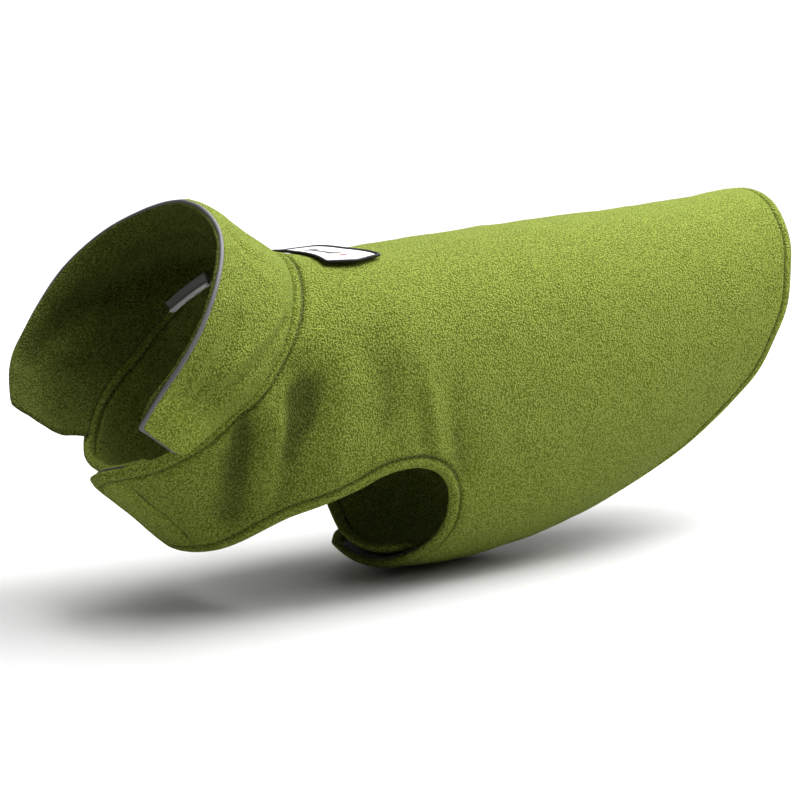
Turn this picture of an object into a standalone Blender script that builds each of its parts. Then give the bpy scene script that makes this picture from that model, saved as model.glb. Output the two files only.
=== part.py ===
"""Dog winter coat: a fleece body panel wrapped round a hollow torso, a stand-up collar
with piping, a bordered back patch, a neck label and two pairs of closure tapes.

Frame: origin inside the cloth at the withers, head toward -X, near (left) side -Y, +Z up.
The torso is a row of sections from the neck (section 0) to the rump; a point of the cloth
is named by its section number and its angle in degrees from the top centre line.
"""
import bpy
import numpy as np

MM = 0.001
WELD_STEP = 1e-6            # points closer than this are one
SECTION_STEP, ANGLE_STEP = 0.02, 0.5    # small steps for the cloth's normals
EDGE_STEP = 0.1             # step in sections that finds which way an edge faces

# ---- driving dimensions, metres ----
CLOTH_WALL = 0.004          # two layers of fleece
SEAM_GAP = 0.0003           # air between two pieces that are sewn together
LAYER_SHIFT = 0.0040        # outer band and strap stand this far out, the inner ones this far in
PIPING_RADIUS = 0.0013
PIPING_FROM_FACE = 0.0014   # piping axis, in from the collar's outer face
PATCH_HALF_ACROSS = 0.028   # to the corners, at the middle of the border
PATCH_POINT = 0.004         # how far each pointed side runs past the corners
PATCH_HALF_ALONG = 0.0172
PATCH_THICK = 0.0009
BORDER_RADIUS = 0.0013
LABEL_THICK = 0.0006
LABEL_DEPTH = 0.0085        # how far the folded loop hangs inward from the seam
LABEL_LEAF_GAP = 0.0012     # half the opening between its two leaves
HOOK_THICK = 0.0010
LOOP_THICK = 0.0009

# ---- torso sections: outer face of the cloth, millimetres ----
SECTION_COLUMNS = ("section", "top_x", "top_z", "bottom_x", "bottom_z",
                   "half_width", "widest_at", "square_above", "square_below")
SECTIONS = (
    (0, -54, 6.0, -159, -101, 60, 0.54, 1.9, 1.9),
    (1, -38, 3.5, -133, -121.5, 63, 0.49, 2.3, 2.0),
    (2, -22, 2.5, -105, -144, 67, 0.48, 2.6, 2.1),
    (3, 0, 3.0, -63, -160, 70, 0.49, 2.7, 2.15),
    (4, 20, 4.0, -17, -161, 71, 0.525, 2.6, 2.1),
    (5, 42, 6.0, 30, -168.3, 71, 0.52, 2.5, 2.1),
    (6, 80, 8.5, 80, -167.8, 70, 0.52, 2.4, 2.15),
    (7, 144, 12.0, 145, -158.5, 68, 0.51, 2.3, 2.15),
    (8, 210, 15.0, 210, -143, 64, 0.50, 2.2, 2.1),
    (9, 265, 18.4, 264, -125, 60, 0.48, 2.1, 2.1),
    (10, 310, 21.8, 308, -111, 55, 0.47, 2.1, 2.1),
    (11, 350, 16.0, 348, -100, 50, 0.47, 2.1, 2.1),
)

# ---- cut lines of one half of the body panel: (section, angle) in order along the edge ----
NECK_LINE = {
    -1: ((0.0, 0), (0.0, 30), (0.15, 60), (0.22, 85), (0.12, 110), (0.06, 122), (-0.05, 131),
         (-0.12, 140), (-0.2, 150.5), (-0.24, 160), (-0.23, 169), (-0.16, 176), (-0.07, 182.6),
         (0.2, 214)),
    1: ((0.0, 0), (0.0, 30), (0.15, 60), (0.22, 85), (0.12, 110), (0.1, 135), (0.1, 160),
        (0.08, 178), (0.0, 200), (0.0, 214)),
}
BAND_LOWER_LINE = ((3.9, 104.6), (3.66, 104.95), (3.45, 105.9), (3.26, 107.7), (3.0, 112.4),
                   (2.82, 115.8), (2.55, 121.9), (2.26, 130.5), (2.08, 139), (1.93, 157),
                   (1.86, 171), (1.83, 186), (1.78, 206), (1.76, 214))
STRAP_FRONT_LINE = ((3.9, 104.6), (4.2, 105.95), (4.44, 109.3), (4.58, 113.1), (4.65, 117),
                    (4.71, 123.7), (4.735, 130), (4.72, 136.7), (4.7, 143.5), (4.62, 160),
                    (4.6, 180), (4.62, 214))
HEM_LINE = ((10.1, 0), (9.99, 26), (9.88, 42), (9.78, 58), (9.63, 73), (9.5, 89), (9.26, 101),
            (9.0, 115), (8.7, 122.5), (8.4, 130.5), (8.1, 139), (7.75, 147), (7.35, 154),
            (6.95, 161), (6.5, 169), (6.15, 180), (5.95, 195), (5.85, 214))
NECK_SPLIT_ANGLE = 100      # where the line down to the leg notch leaves the neck edge
HEM_SPLIT_ANGLE = 139       # where the side hem becomes the strap's rear edge
CROSS_SECTION = 4.55        # where the line across from the leg notches meets the back
REAR_LINE_BULGE = (5.6, 110)
BAND_END = {-1: ((-0.07, 182.6), (0.12, 187.4), (0.5, 189.8), (1.1, 189.3), (1.83, 186)),
            1: ((0.0, 210), (1.0, 208), (1.78, 206))}
STRAP_FRONT_SHIFT = {-1: 0.0, 1: 0.03}  # sections that the far strap's front edge lies further back
STRAP_SHIFTED_FROM = 128    # wholly so beyond this angle
STRAP_END_ANGLE = {-1: 211, 1: 205}
STRAP_END_ROUND = ((0.0, -9), (0.13, -2.5), (0.5, 0), (0.87, -2.5), (1.0, -9))
BAND_TO_STRAP_SECTION = 3.9

# ---- collar: (angle on the neck edge, then where the rim stands, millimetres) ----
COLLAR_COLUMNS = ("angle", "rim_x", "rim_y", "rim_z")
COLLAR_RIM = (
    (0, -105.4, 0.0, 35.5),
    (15, -106.8, 15.6, 33.7),
    (30, -110.7, 32.5, 29.5),
    (45, -116.8, 48.7, 22.5),
    (60, -125.8, 62.2, 11.4),
    (75, -136.8, 71.8, -3.2),
    (90, -148.5, 75.8, -20.8),
    (105, -159.1, 74.6, -36.7),
    (120, -167.3, 68.2, -52.6),
    (133, -170.5, 58.5, -66.9),
    (138, -170.8, 54.2, -72.0),
)
COLLAR_END = {              # (height, angle) of each front end
    -1: ((0.0, 130.6), (0.2, 130.1), (0.4, 130.6), (0.6, 131.7), (0.8, 132.7), (1.0, 133.2)),
    1: ((0.0, 133), (0.2, 134), (0.4, 135.8), (0.6, 137.1), (0.8, 136.4), (0.9, 135),
        (1.0, 133)),
}
COLLAR_BULGE_BACK = ((0.0, 0.0), (0.3, 0.6), (0.6, 1.5), (0.8, 2.1), (0.92, 1.7), (1.0, 0.3))
COLLAR_BULGE_SIDE = ((0.0, 0.0), (0.12, 2.6), (0.3, 4.2), (0.5, 2.6), (0.7, 0.2), (0.85, -0.8),
                     (1.0, -0.4))      # (share of the height, millimetres out)
COLLAR_BACK_TO, COLLAR_SIDE_FROM = 8, 45       # degrees over which one turns into the other
COLLAR_FAR_SHORTER = 0.045  # share of its height by which the far side is lower

# ---- where the small pieces sit ----
PATCH_CENTRE_X = -0.018
LABEL_ANGLES = (40, 61)
LABEL_LOOP = ((0.06, -0.6), (0.45, -0.8), (0.85, -0.9), (1.0, -0.3), (1.0, 0.3),
              (0.85, 0.9), (0.45, 0.8), (0.06, 0.6))    # (share of depth, share of leaf gap)
PIPING_START = 0.04         # share of the collar's height where the piping begins
PIPING_CORNER = 0.05        # and how far below the rim it starts to turn the corner
CORNER_DEGREES = 1.5
CORNER_SHARE = 0.75
TAPE_COLUMNS = ("piece", "side", "block", "from_row", "to_row", "from_column", "to_column")
TAPES = (                   # rows and columns are those of the band's or the strap's mesh;
    # whole columns keep a tape's chords level with the cloth's round the body
    ("chest_hook_tape", -1, "band", 0.4, 8.6, 10.0, 13.0),
    ("chest_loop_tape", 1, "band", 0.6, 8.4, 9.0, 13.0),
    ("belly_hook_tape", -1, "strap", 1.0, 17.0, 8.0, 12.0),
    ("belly_loop_tape", 1, "strap", 2.0, 17.0, 8.0, 12.0),
)

# ---- mesh counts ----
COLLAR_COLUMNS_HALF = 19
COLLAR_ROWS = 7
PATCH_RINGS, PATCH_SPOKES = 4, 36
BACK_SAMPLES = 241          # along the back, to find the section at a place
LABEL_COLUMNS = 5
TUBE_RESOLUTION = 2         # an eight-sided tube
SADDLE_COLUMNS = 14
FRONT_ROWS = 9
REAR_ROWS = 19
BAND_COLUMNS = 13
STRAP_COLUMNS = 13
NOTCH_CROWD = 1.3           # band and strap cells are shorter toward the leg notch


def column(table, position, at):
    """Smooth curve through one column of a table whose first column is the abscissa."""
    rows = np.array(table, float)
    x, y = rows[:, 0], rows[:, position]
    step = np.diff(x)
    slope = np.diff(y) / step
    tangent = np.empty_like(y)
    tangent[0], tangent[-1] = slope[0], slope[-1]
    tangent[1:-1] = (step[1:] * slope[:-1] + step[:-1] * slope[1:]) / (step[1:] + step[:-1])
    at = np.asarray(at, float)
    i = np.clip(np.searchsorted(x, at, side="right") - 1, 0, len(step) - 1)
    t = (at - x[i]) / step[i]
    return ((2 * t ** 3 - 3 * t ** 2 + 1) * y[i] + (t ** 3 - 2 * t ** 2 + t) * step[i] * tangent[i]
            + (3 * t ** 2 - 2 * t ** 3) * y[i + 1] + (t ** 3 - t ** 2) * step[i] * tangent[i + 1])


def columns(table, names, at):
    """All columns of a table after the first, by name, each interpolated at `at`."""
    return {name: column(table, i, at) for i, name in enumerate(names) if i}


def torso(section, angle):
    """Point of the bare torso surface; superellipse sections standing on tilted planes."""
    section, angle = np.broadcast_arrays(np.asarray(section, float), np.asarray(angle, float))
    ring = columns(SECTIONS, SECTION_COLUMNS, section)
    cos, sin = np.cos(np.radians(angle)), np.sin(np.radians(angle))
    power = 2 / np.where(cos >= 0, ring["square_above"], ring["square_below"])
    down = np.abs(cos) ** power
    across = np.sign(sin) * np.abs(sin) ** power
    widest = ring["widest_at"]
    depth = np.where(cos >= 0, widest * (1 - down), widest + (1 - widest) * down)
    return MM * np.stack([ring["top_x"] + (ring["bottom_x"] - ring["top_x"]) * depth,
                          ring["half_width"] * across,
                          ring["top_z"] + (ring["bottom_z"] - ring["top_z"]) * depth], -1)


# ---- broad folds of the cloth: a soft ridge (+) or trough (-) along a line ----
FOLD_COLUMNS = ("side", "from_section", "from_angle", "to_section", "to_angle",
                "half_width_mm", "height_mm")
FOLDS = (
    (-1, 3.1, 62, 3.9, 88, 12, 2.4),
    (-1, 2.55, 66, 3.3, 90, 12, -2.6),
    (-1, 4.15, 74, 4.75, 98, 11, -2.2),
    (-1, 1.5, 74, 2.3, 96, 13, -2.2),
    (-1, 0.75, 88, 1.5, 136, 15, -2.8),
    (-1, 1.2, 104, 2.1, 128, 13, 1.8),
    (1, 2.7, 58, 3.6, 84, 13, 2.2),
    (1, 2.1, 64, 2.9, 92, 13, -2.6),
    (1, 4.2, 70, 4.7, 96, 12, -2.0),
    (1, 0.8, 92, 1.4, 128, 15, -2.4),
)
MM_PER_SECTION = 36         # near the neck, where the folds are
MM_PER_DEGREE = 1.25


def unit(vectors):
    return vectors / np.linalg.norm(vectors, axis=-1, keepdims=True)


def smooth_step(x, low, high):
    t = np.clip((np.asarray(x, float) - low) / (high - low), 0, 1)
    return t * t * (3 - 2 * t)


def fold_height(section, angle):
    """Sum of Gaussian ridges along short lines in the (section, angle) sheet, metres."""
    total = np.zeros(np.broadcast(section, angle).shape)
    for row in FOLDS:
        fold = dict(zip(FOLD_COLUMNS, row))
        x = (section - fold["from_section"]) * MM_PER_SECTION
        y = (fold["side"] * angle - fold["from_angle"]) * MM_PER_DEGREE
        dx = (fold["to_section"] - fold["from_section"]) * MM_PER_SECTION
        dy = (fold["to_angle"] - fold["from_angle"]) * MM_PER_DEGREE
        length = np.hypot(dx, dy)
        along = (x * dx + y * dy) / length
        away = (x * dy - y * dx) / length / fold["half_width_mm"]
        past_end = np.maximum(np.maximum(-along, along - length), 0) / fold["half_width_mm"]
        total = total + fold["height_mm"] * MM * np.exp(-away ** 2 - past_end ** 2)
    return total


def cloth_point(section, angle, out=0.0):
    """Outer face of the finished cloth, moved `out` metres along its normal.

    Beyond the straight-down line the near side (negative angles) is the outer layer and
    is lifted; the far side is the inner layer and is sunk by the same amount.
    """
    section, angle = np.broadcast_arrays(np.asarray(section, float), np.asarray(angle, float))
    side, turn = np.sign(angle), np.abs(angle)
    full_band = np.where(side < 0, smooth_step(turn, 112, 146), smooth_step(turn, 144, 171))
    band = full_band * (section < BAND_TO_STRAP_SECTION)
    strap = (smooth_step(turn, 106, 138) * (section >= BAND_TO_STRAP_SECTION)
             * (1 - smooth_step(section, 6, 8)))
    lift = -side * LAYER_SHIFT * (band + strap)
    along = torso(section + SECTION_STEP, angle) - torso(section - SECTION_STEP, angle)
    around = torso(section, angle + ANGLE_STEP) - torso(section, angle - ANGLE_STEP)
    height = lift + fold_height(section, angle) + out
    return torso(section, angle) + unit(np.cross(along, around)) * height[..., None]


def along_path(points, count, crowd=1.0):
    """`count` points on the smooth curve through (section, angle) rows, spaced by length.

    A `crowd` above 1 draws them closer together toward the start.
    """
    points = np.array(points, float)
    chord = np.linalg.norm(np.diff(torso(points[:, 0], points[:, 1]), axis=0), axis=1)
    rows = np.column_stack([np.concatenate([[0], np.cumsum(chord)]), points])
    fine = np.linspace(0, rows[-1, 0], 40 * count)
    curve = np.stack([column(rows, 1, fine), column(rows, 2, fine)], -1)
    chord = np.linalg.norm(np.diff(torso(curve[:, 0], curve[:, 1]), axis=0), axis=1)
    length = np.concatenate([[0], np.cumsum(chord)])
    at = length[-1] * np.linspace(0, 1, count) ** crowd
    return np.stack([np.interp(at, length, curve[:, k]) for k in (0, 1)], -1)


def path_between(points, low, high):
    """Part of a (section, angle) path up to angle `high`, from angle `low` or from its start."""
    points = np.array(points, float)
    rising = points[np.argmin(points[:, 1]):]
    end = (np.interp(high, rising[:, 1], rising[:, 0]), high)
    if low is None:
        return [*points[points[:, 1] < high], end]
    start = (np.interp(low, rising[:, 1], rising[:, 0]), low)
    return [start, *points[(points[:, 1] > low) & (points[:, 1] < high)], end]


def coons(top, bottom, left, right):
    """Coons surface between four edge paths; rows run from `top` to `bottom`."""
    v = np.linspace(0, 1, len(left))[:, None, None]
    u = np.linspace(0, 1, len(top))[None, :, None]
    ruled = (1 - v) * top[None] + v * bottom[None] + (1 - u) * left[:, None] + u * right[:, None]
    corners = ((1 - v) * ((1 - u) * top[0] + u * top[-1])
               + v * ((1 - u) * bottom[0] + u * bottom[-1]))
    return ruled - corners


def half_panel(side):
    """(section, angle) grids of the saddle, the chest band and the belly strap of one side."""
    corner = BAND_LOWER_LINE[0]
    neck_split = path_between(NECK_LINE[side], None, NECK_SPLIT_ANGLE)[-1]
    hem_split = path_between(HEM_LINE, None, HEM_SPLIT_ANGLE)[-1]
    middle = ((neck_split[0] + corner[0]) / 2, NECK_SPLIT_ANGLE)
    cross = ((CROSS_SECTION, 0), ((CROSS_SECTION + corner[0]) / 2, corner[1] / 2), corner)
    strap_end = STRAP_END_ANGLE[side]
    strap_in = strap_end + STRAP_END_ROUND[0][1]
    line = np.array(STRAP_FRONT_LINE, float)
    line[:, 0] += STRAP_FRONT_SHIFT[side] * smooth_step(line[:, 1], corner[1], STRAP_SHIFTED_FROM)
    strap_front = path_between(line, None, strap_in)
    strap_rear = path_between(HEM_LINE, HEM_SPLIT_ANGLE, strap_in)
    front, rear = np.array(strap_front[-1]), np.array(strap_rear[-1])
    strap_tip = [(front[0] + (rear[0] - front[0]) * t, strap_end + turn)
                 for t, turn in STRAP_END_ROUND]

    saddle_cross = along_path(cross, SADDLE_COLUMNS + 1)
    front_line = along_path((neck_split, middle, corner), FRONT_ROWS + 1)
    rear_line = along_path((corner, REAR_LINE_BULGE, hem_split), REAR_ROWS + 1)
    grids = {
        "saddle_front": coons(
            along_path(path_between(NECK_LINE[side], None, NECK_SPLIT_ANGLE), SADDLE_COLUMNS + 1),
            saddle_cross, along_path(((0, 0), (CROSS_SECTION, 0)), FRONT_ROWS + 1), front_line),
        "saddle_rear": coons(
            saddle_cross, along_path(path_between(HEM_LINE, None, HEM_SPLIT_ANGLE),
                                     SADDLE_COLUMNS + 1),
            along_path(((CROSS_SECTION, 0), HEM_LINE[0]), REAR_ROWS + 1), rear_line),
        "band": coons(
            along_path(path_between(NECK_LINE[side], NECK_SPLIT_ANGLE, BAND_END[side][0][1]),
                       BAND_COLUMNS + 1, NOTCH_CROWD),
            along_path(path_between(BAND_LOWER_LINE, None, BAND_END[side][-1][1]),
                       BAND_COLUMNS + 1, NOTCH_CROWD),
            front_line, along_path(BAND_END[side], FRONT_ROWS + 1)),
        "strap": coons(
            along_path(strap_front, STRAP_COLUMNS + 1, NOTCH_CROWD),
            along_path(strap_rear, STRAP_COLUMNS + 1, NOTCH_CROWD),
            rear_line, along_path(strap_tip, REAR_ROWS + 1)),
    }
    return {name: grid * np.array([1, side]) for name, grid in grids.items()}


def cut_out(grid, row_from, row_to, column_from, column_to):
    """Part of a grid between fractional rows and columns; it keeps the lines in between."""
    for axis, (low, high) in enumerate(((row_from, row_to), (column_from, column_to))):
        at = np.unique([low, *np.arange(np.ceil(low), high), high])
        below = np.minimum(at.astype(int), grid.shape[axis] - 2)
        share = np.expand_dims(at - below, (1, 2) if axis == 0 else (0, 2))
        grid = (np.take(grid, below, axis) * (1 - share)
                + np.take(grid, below + 1, axis) * share)
    return grid


def grid_faces(rows, columns, flip=False):
    """Quads of a rows x columns grid of points, outward when columns run with the angle."""
    i, j = np.meshgrid(np.arange(rows - 1), np.arange(columns - 1), indexing="ij")
    a = (i * columns + j).ravel()
    quads = np.stack([a, a + columns, a + columns + 1, a + 1], -1)
    return quads[:, ::-1] if flip else quads


def weld(grids):
    """One point list and one face list from (points, faces) grids that share their edges."""
    points = np.concatenate([grid_points.reshape(-1, 3) for grid_points, _ in grids])
    starts = np.cumsum([0] + [len(p.reshape(-1, 3)) for p, _ in grids])
    faces = np.concatenate([quads + start for (_, quads), start in zip(grids, starts)])
    _, first, index = np.unique(np.round(points / WELD_STEP), axis=0, return_index=True,
                                return_inverse=True)
    return points[first], index.reshape(-1)[faces]


def neck_edge(angle):
    """Section number of the panel's neck edge at an angle."""
    near, far = (column(np.array(NECK_LINE[side], float)[:, ::-1], 1, np.abs(angle))
                 for side in (-1, 1))
    return np.where(np.asarray(angle) < 0, near, far)


def collar_point(angle, height, out=0.0):
    """Outer face of the collar: height 0 at the neck seam, 1 at the rim."""
    angle, height = np.broadcast_arrays(np.asarray(angle, float), np.asarray(height, float))

    def seam(at):
        section = neck_edge(at)
        edge = cloth_point(section, at)
        return edge + unit(edge - cloth_point(section + EDGE_STEP, at)) * SEAM_GAP

    def rim(at):
        place = columns(COLLAR_RIM, COLLAR_COLUMNS, np.abs(at))
        full = MM * np.stack([place["rim_x"], place["rim_y"] * np.sign(at), place["rim_z"]], -1)
        lower = COLLAR_FAR_SHORTER * smooth_step(at, 0, COLLAR_SIDE_FROM)
        return full + (seam(at) - full) * lower[..., None]

    def ruled(at):
        return seam(at) + (rim(at) - seam(at)) * height[..., None]

    around = ruled(angle + ANGLE_STEP) - ruled(angle - ANGLE_STEP)
    normal = unit(np.cross(around, rim(angle) - seam(angle)))
    side = smooth_step(np.abs(angle), COLLAR_BACK_TO, COLLAR_SIDE_FROM)
    bulge = MM * (side * column(COLLAR_BULGE_SIDE, 1, height)
                  + (1 - side) * column(COLLAR_BULGE_BACK, 1, height)) + out
    return ruled(angle) + normal * bulge[..., None]


def collar_end(side, height):
    """Angle of a front end at a height."""
    return side * column(COLLAR_END[side], 1, np.clip(height, 0, 1))


def collar_angles(height):
    """Evenly spaced angles from the near front end to the far one."""
    across = np.linspace(-1, 1, 2 * COLLAR_COLUMNS_HALF + 1)
    return np.abs(across) * np.where(across < 0, collar_end(-1, height), collar_end(1, height))


def square_to(direction, edge):
    """Part of a direction that is square to an edge, as a unit vector."""
    edge = unit(edge)
    return unit(direction - edge * np.sum(direction * edge, -1, keepdims=True))


def collar_piping_path():
    """Axis of the piping: up the near front end, round the rim, down the far front end."""
    reach = PIPING_RADIUS + 2 * SEAM_GAP
    heights = np.linspace(0, 1, COLLAR_ROWS + 1)
    heights[[0, -1]] = PIPING_START, 1 - PIPING_CORNER
    angles = collar_angles(1.0)
    angles[[0, -1]] += np.array([1, -1]) * CORNER_DEGREES

    def face(angle, height):
        return collar_point(angle, height, -PIPING_FROM_FACE)

    def above_rim(angle):
        rise = face(angle, 1) - face(angle, 1 - PIPING_CORNER)
        return square_to(rise, face(angle + ANGLE_STEP, 1) - face(angle - ANGLE_STEP, 1))

    def before_end(side, height):
        end, lower = collar_end(side, height), height - PIPING_CORNER
        ahead = face(end, height) - face(end - side * CORNER_DEGREES, height)
        return square_to(ahead, face(end, height) - face(collar_end(side, lower), lower))

    ends = []
    for side in (-1, 1):
        tip = collar_end(side, 1)
        edge = face(collar_end(side, heights), heights) + before_end(side, heights) * reach
        corner = face(tip, 1) + (above_rim(tip) + before_end(side, 1)) * reach * CORNER_SHARE
        ends.append(np.concatenate([edge, corner[None]]))
    rim = face(angles, 1) + above_rim(angles) * reach
    return np.concatenate([ends[0], rim, ends[1][::-1]])


def patch_outline(shrink):
    """Six-sided outline of the patch as (x, y) from its centre, moved in by `shrink`."""
    across, along = PATCH_HALF_ACROSS - shrink, PATCH_HALF_ALONG - shrink
    point = across + PATCH_POINT
    corners = np.array([(-along, -across), (0, -point), (along, -across),
                        (along, across), (0, point), (-along, across), (-along, -across)])
    chord = np.concatenate([[0], np.cumsum(np.linalg.norm(np.diff(corners, axis=0), axis=1))])
    at = np.linspace(0, chord[-1], PATCH_SPOKES + 1)[:-1]
    return np.stack([np.interp(at, chord, corners[:, k]) for k in (0, 1)], -1)


def patch_faces():
    """A fan of triangles in the middle of the patch and rings of quads round it."""
    here = 1 + np.arange(PATCH_SPOKES)
    after = 1 + (np.arange(PATCH_SPOKES) + 1) % PATCH_SPOKES
    fan = [(0, int(a), int(b)) for a, b in zip(here, after)]
    starts = np.arange(PATCH_RINGS - 1)[:, None] * PATCH_SPOKES
    quads = np.stack([starts + here, starts + here + PATCH_SPOKES,
                      starts + after + PATCH_SPOKES, starts + after], -1)
    return fan + quads.reshape(-1, 4).tolist()


def back_point(x, y, out):
    """Point of the back at `x` along and `y` across it, moved out along the normal."""
    sections = np.linspace(SECTIONS[0][0], SECTIONS[-1][0], BACK_SAMPLES)
    tops = MM * columns(SECTIONS, SECTION_COLUMNS, sections)["top_x"]
    section = np.interp(x, tops, sections)
    ring = columns(SECTIONS, SECTION_COLUMNS, section)
    across = np.abs(y) / (MM * ring["half_width"])
    angle = np.degrees(np.arcsin(across ** (ring["square_above"] / 2))) * np.sign(y)
    return cloth_point(section, angle, out)


def label_points():
    """Folded loop hanging inward from the neck seam: leaf, fold and leaf back to the seam."""
    angle = np.linspace(*LABEL_ANGLES, LABEL_COLUMNS)[:, None]
    depth, spread = (np.array(values)[None, :, None] for values in zip(*LABEL_LOOP))
    section = neck_edge(angle)
    seam = cloth_point(section, angle, -CLOTH_WALL - SEAM_GAP)
    inward = unit(cloth_point(section, angle, -2 * CLOTH_WALL) - seam)
    forward = unit(seam - cloth_point(section + EDGE_STEP, angle, -CLOTH_WALL - SEAM_GAP))
    return seam + inward * depth * LABEL_DEPTH + forward * spread * LABEL_LEAF_GAP


# ---- build ----

def material(name, colour, roughness):
    shader = bpy.data.materials.new(name)
    shader.use_nodes = True
    principled = shader.node_tree.nodes["Principled BSDF"]
    principled.inputs["Base Color"].default_value = (*colour, 1)
    principled.inputs["Roughness"].default_value = roughness
    return shader


def add(name, data, shader, collection):
    data.materials.append(shader)
    thing = bpy.data.objects.new(name, data)
    collection.objects.link(thing)
    return thing


def sheet(name, points, faces, wall, shader, collection):
    """Cloth: an open surface, given its wall on the inner side."""
    mesh = bpy.data.meshes.new(name)
    mesh.from_pydata(points.tolist(), [], list(faces))
    mesh.shade_smooth()
    thing = add(name, mesh, shader, collection)
    solidify = thing.modifiers.new("wall", "SOLIDIFY")
    solidify.thickness = wall
    solidify.offset = -1
    solidify.use_quality_normals = True
    return thing


def tube(name, path, radius, closed, shader, collection):
    """Round cord along a path, with filled ends unless it is a ring."""
    curve = bpy.data.curves.new(name, "CURVE")
    curve.dimensions = "3D"
    curve.bevel_depth = radius
    curve.bevel_resolution = TUBE_RESOLUTION
    curve.use_fill_caps = not closed
    spline = curve.splines.new("POLY")
    spline.points.add(len(path) - 1)
    spline.points.foreach_set("co", np.column_stack([path, np.ones(len(path))]).ravel())
    spline.use_smooth = True
    spline.use_cyclic_u = closed
    return add(name, curve, shader, collection)


def grid_object(name, grid, side, out, wall, shader, collection):
    """Sheet on a (section, angle) grid of the panel."""
    points = cloth_point(grid[..., 0], grid[..., 1], out)
    faces = grid_faces(*grid.shape[:2], flip=side < 0)
    return sheet(name, points.reshape(-1, 3), faces, wall, shader, collection)


def build_patch(white, black, coat):
    """The flat patch and its round border, both lying on the back."""
    outline = patch_outline(BORDER_RADIUS + SEAM_GAP)
    rings = np.linspace(0, 1, PATCH_RINGS + 1)[1:, None, None] * outline[None]
    flat = np.concatenate([np.zeros((1, 2)), rings.reshape(-1, 2)])
    raised = back_point(flat[:, 0] + PATCH_CENTRE_X, flat[:, 1], SEAM_GAP + PATCH_THICK)
    sheet("back_patch", raised, patch_faces(), PATCH_THICK, white, coat)
    edge = patch_outline(0.0)
    border = back_point(edge[:, 0] + PATCH_CENTRE_X, edge[:, 1], SEAM_GAP + BORDER_RADIUS)
    tube("patch_border", border, BORDER_RADIUS, True, black, coat)


def main():
    for thing in list(bpy.data.objects):
        bpy.data.objects.remove(thing, do_unlink=True)
    coat = bpy.data.collections.new("dog_winter_coat")
    bpy.context.scene.collection.children.link(coat)
    fleece = material("fleece_green", (0.20, 0.29, 0.045), 0.9)
    grey = material("piping_grey", (0.16, 0.16, 0.17), 0.5)
    white = material("patch_white", (0.75, 0.75, 0.75), 0.7)
    black = material("border_black", (0.015, 0.015, 0.018), 0.6)
    label_white = material("label_white", (0.7, 0.7, 0.72), 0.6)
    hook = material("hook_black", (0.01, 0.01, 0.012), 0.5)
    loop = material("loop_black", (0.015, 0.015, 0.017), 0.9)

    halves = {side: half_panel(side) for side in (-1, 1)}
    panel = weld([(cloth_point(grid[..., 0], grid[..., 1]),
                   grid_faces(*grid.shape[:2], flip=side < 0))
                  for side, half in halves.items() for grid in half.values()])
    sheet("body_panel", *panel, CLOTH_WALL, fleece, coat)

    heights = np.linspace(0, 1, COLLAR_ROWS + 1)[:, None]
    collar = collar_point(collar_angles(heights), heights)
    sheet("collar", collar.reshape(-1, 3), grid_faces(*collar.shape[:2], flip=True),
          CLOTH_WALL, fleece, coat)
    tube("collar_piping", collar_piping_path(), PIPING_RADIUS, False, grey, coat)

    build_patch(white, black, coat)
    label = label_points()
    sheet("neck_label", label.reshape(-1, 3), grid_faces(*label.shape[:2]), LABEL_THICK,
          label_white, coat)

    for row in TAPES:
        tape = dict(zip(TAPE_COLUMNS, row))
        cells = cut_out(halves[tape["side"]][tape["block"]], *row[TAPE_COLUMNS.index("from_row"):])
        if tape["side"] < 0:
            out, wall, shader = -CLOTH_WALL - SEAM_GAP, HOOK_THICK, hook
        else:
            out, wall, shader = SEAM_GAP + LOOP_THICK, LOOP_THICK, loop
        grid_object(tape["piece"], cells, tape["side"], out, wall, shader, coat)


main()
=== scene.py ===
"""Dog winter coat, dressed: two-layer fleece with turned and topstitched edges, a piped
stand-up collar, a bordered back patch, a neck label and hook-and-loop tapes.

Frame: origin inside the cloth at the withers, head toward -X, near (left) side -Y, +Z up.
The torso is a row of sections from the neck (section 0) to the rump, and a point of the
cloth is named by its section number and its angle in degrees from the top centre line.
"""

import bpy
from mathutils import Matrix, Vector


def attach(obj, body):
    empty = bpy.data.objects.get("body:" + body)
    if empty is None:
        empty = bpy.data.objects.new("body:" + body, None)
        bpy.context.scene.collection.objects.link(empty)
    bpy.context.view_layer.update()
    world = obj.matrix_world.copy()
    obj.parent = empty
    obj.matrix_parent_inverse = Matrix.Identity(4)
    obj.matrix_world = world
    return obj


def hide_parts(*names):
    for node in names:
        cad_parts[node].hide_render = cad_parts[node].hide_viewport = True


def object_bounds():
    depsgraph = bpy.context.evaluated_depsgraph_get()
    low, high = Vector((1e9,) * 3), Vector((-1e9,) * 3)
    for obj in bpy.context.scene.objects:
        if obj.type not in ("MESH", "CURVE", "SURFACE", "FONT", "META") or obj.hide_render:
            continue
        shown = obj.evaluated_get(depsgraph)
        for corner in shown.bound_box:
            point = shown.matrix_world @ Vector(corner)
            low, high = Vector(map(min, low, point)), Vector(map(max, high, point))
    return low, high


bl_info = {
    "name": "Dog winter coat",
    "version": (1, 0, 0),
    "blender": (4, 5, 0),
    "location": "View3D > Sidebar > Coat",
    "description": "Fleece, piping, patch, label, tapes and stitching of a dog's winter coat",
    "category": "Object",
}

import bpy
import numpy as np
from mathutils import Matrix, Vector

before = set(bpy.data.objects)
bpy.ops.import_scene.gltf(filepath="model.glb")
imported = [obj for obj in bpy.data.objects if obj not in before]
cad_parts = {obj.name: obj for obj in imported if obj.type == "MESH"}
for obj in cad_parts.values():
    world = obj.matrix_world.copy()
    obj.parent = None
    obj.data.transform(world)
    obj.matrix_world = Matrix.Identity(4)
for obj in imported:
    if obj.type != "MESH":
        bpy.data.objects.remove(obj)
CAD_BOX = [[float(value) for value in corner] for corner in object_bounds()]

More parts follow.
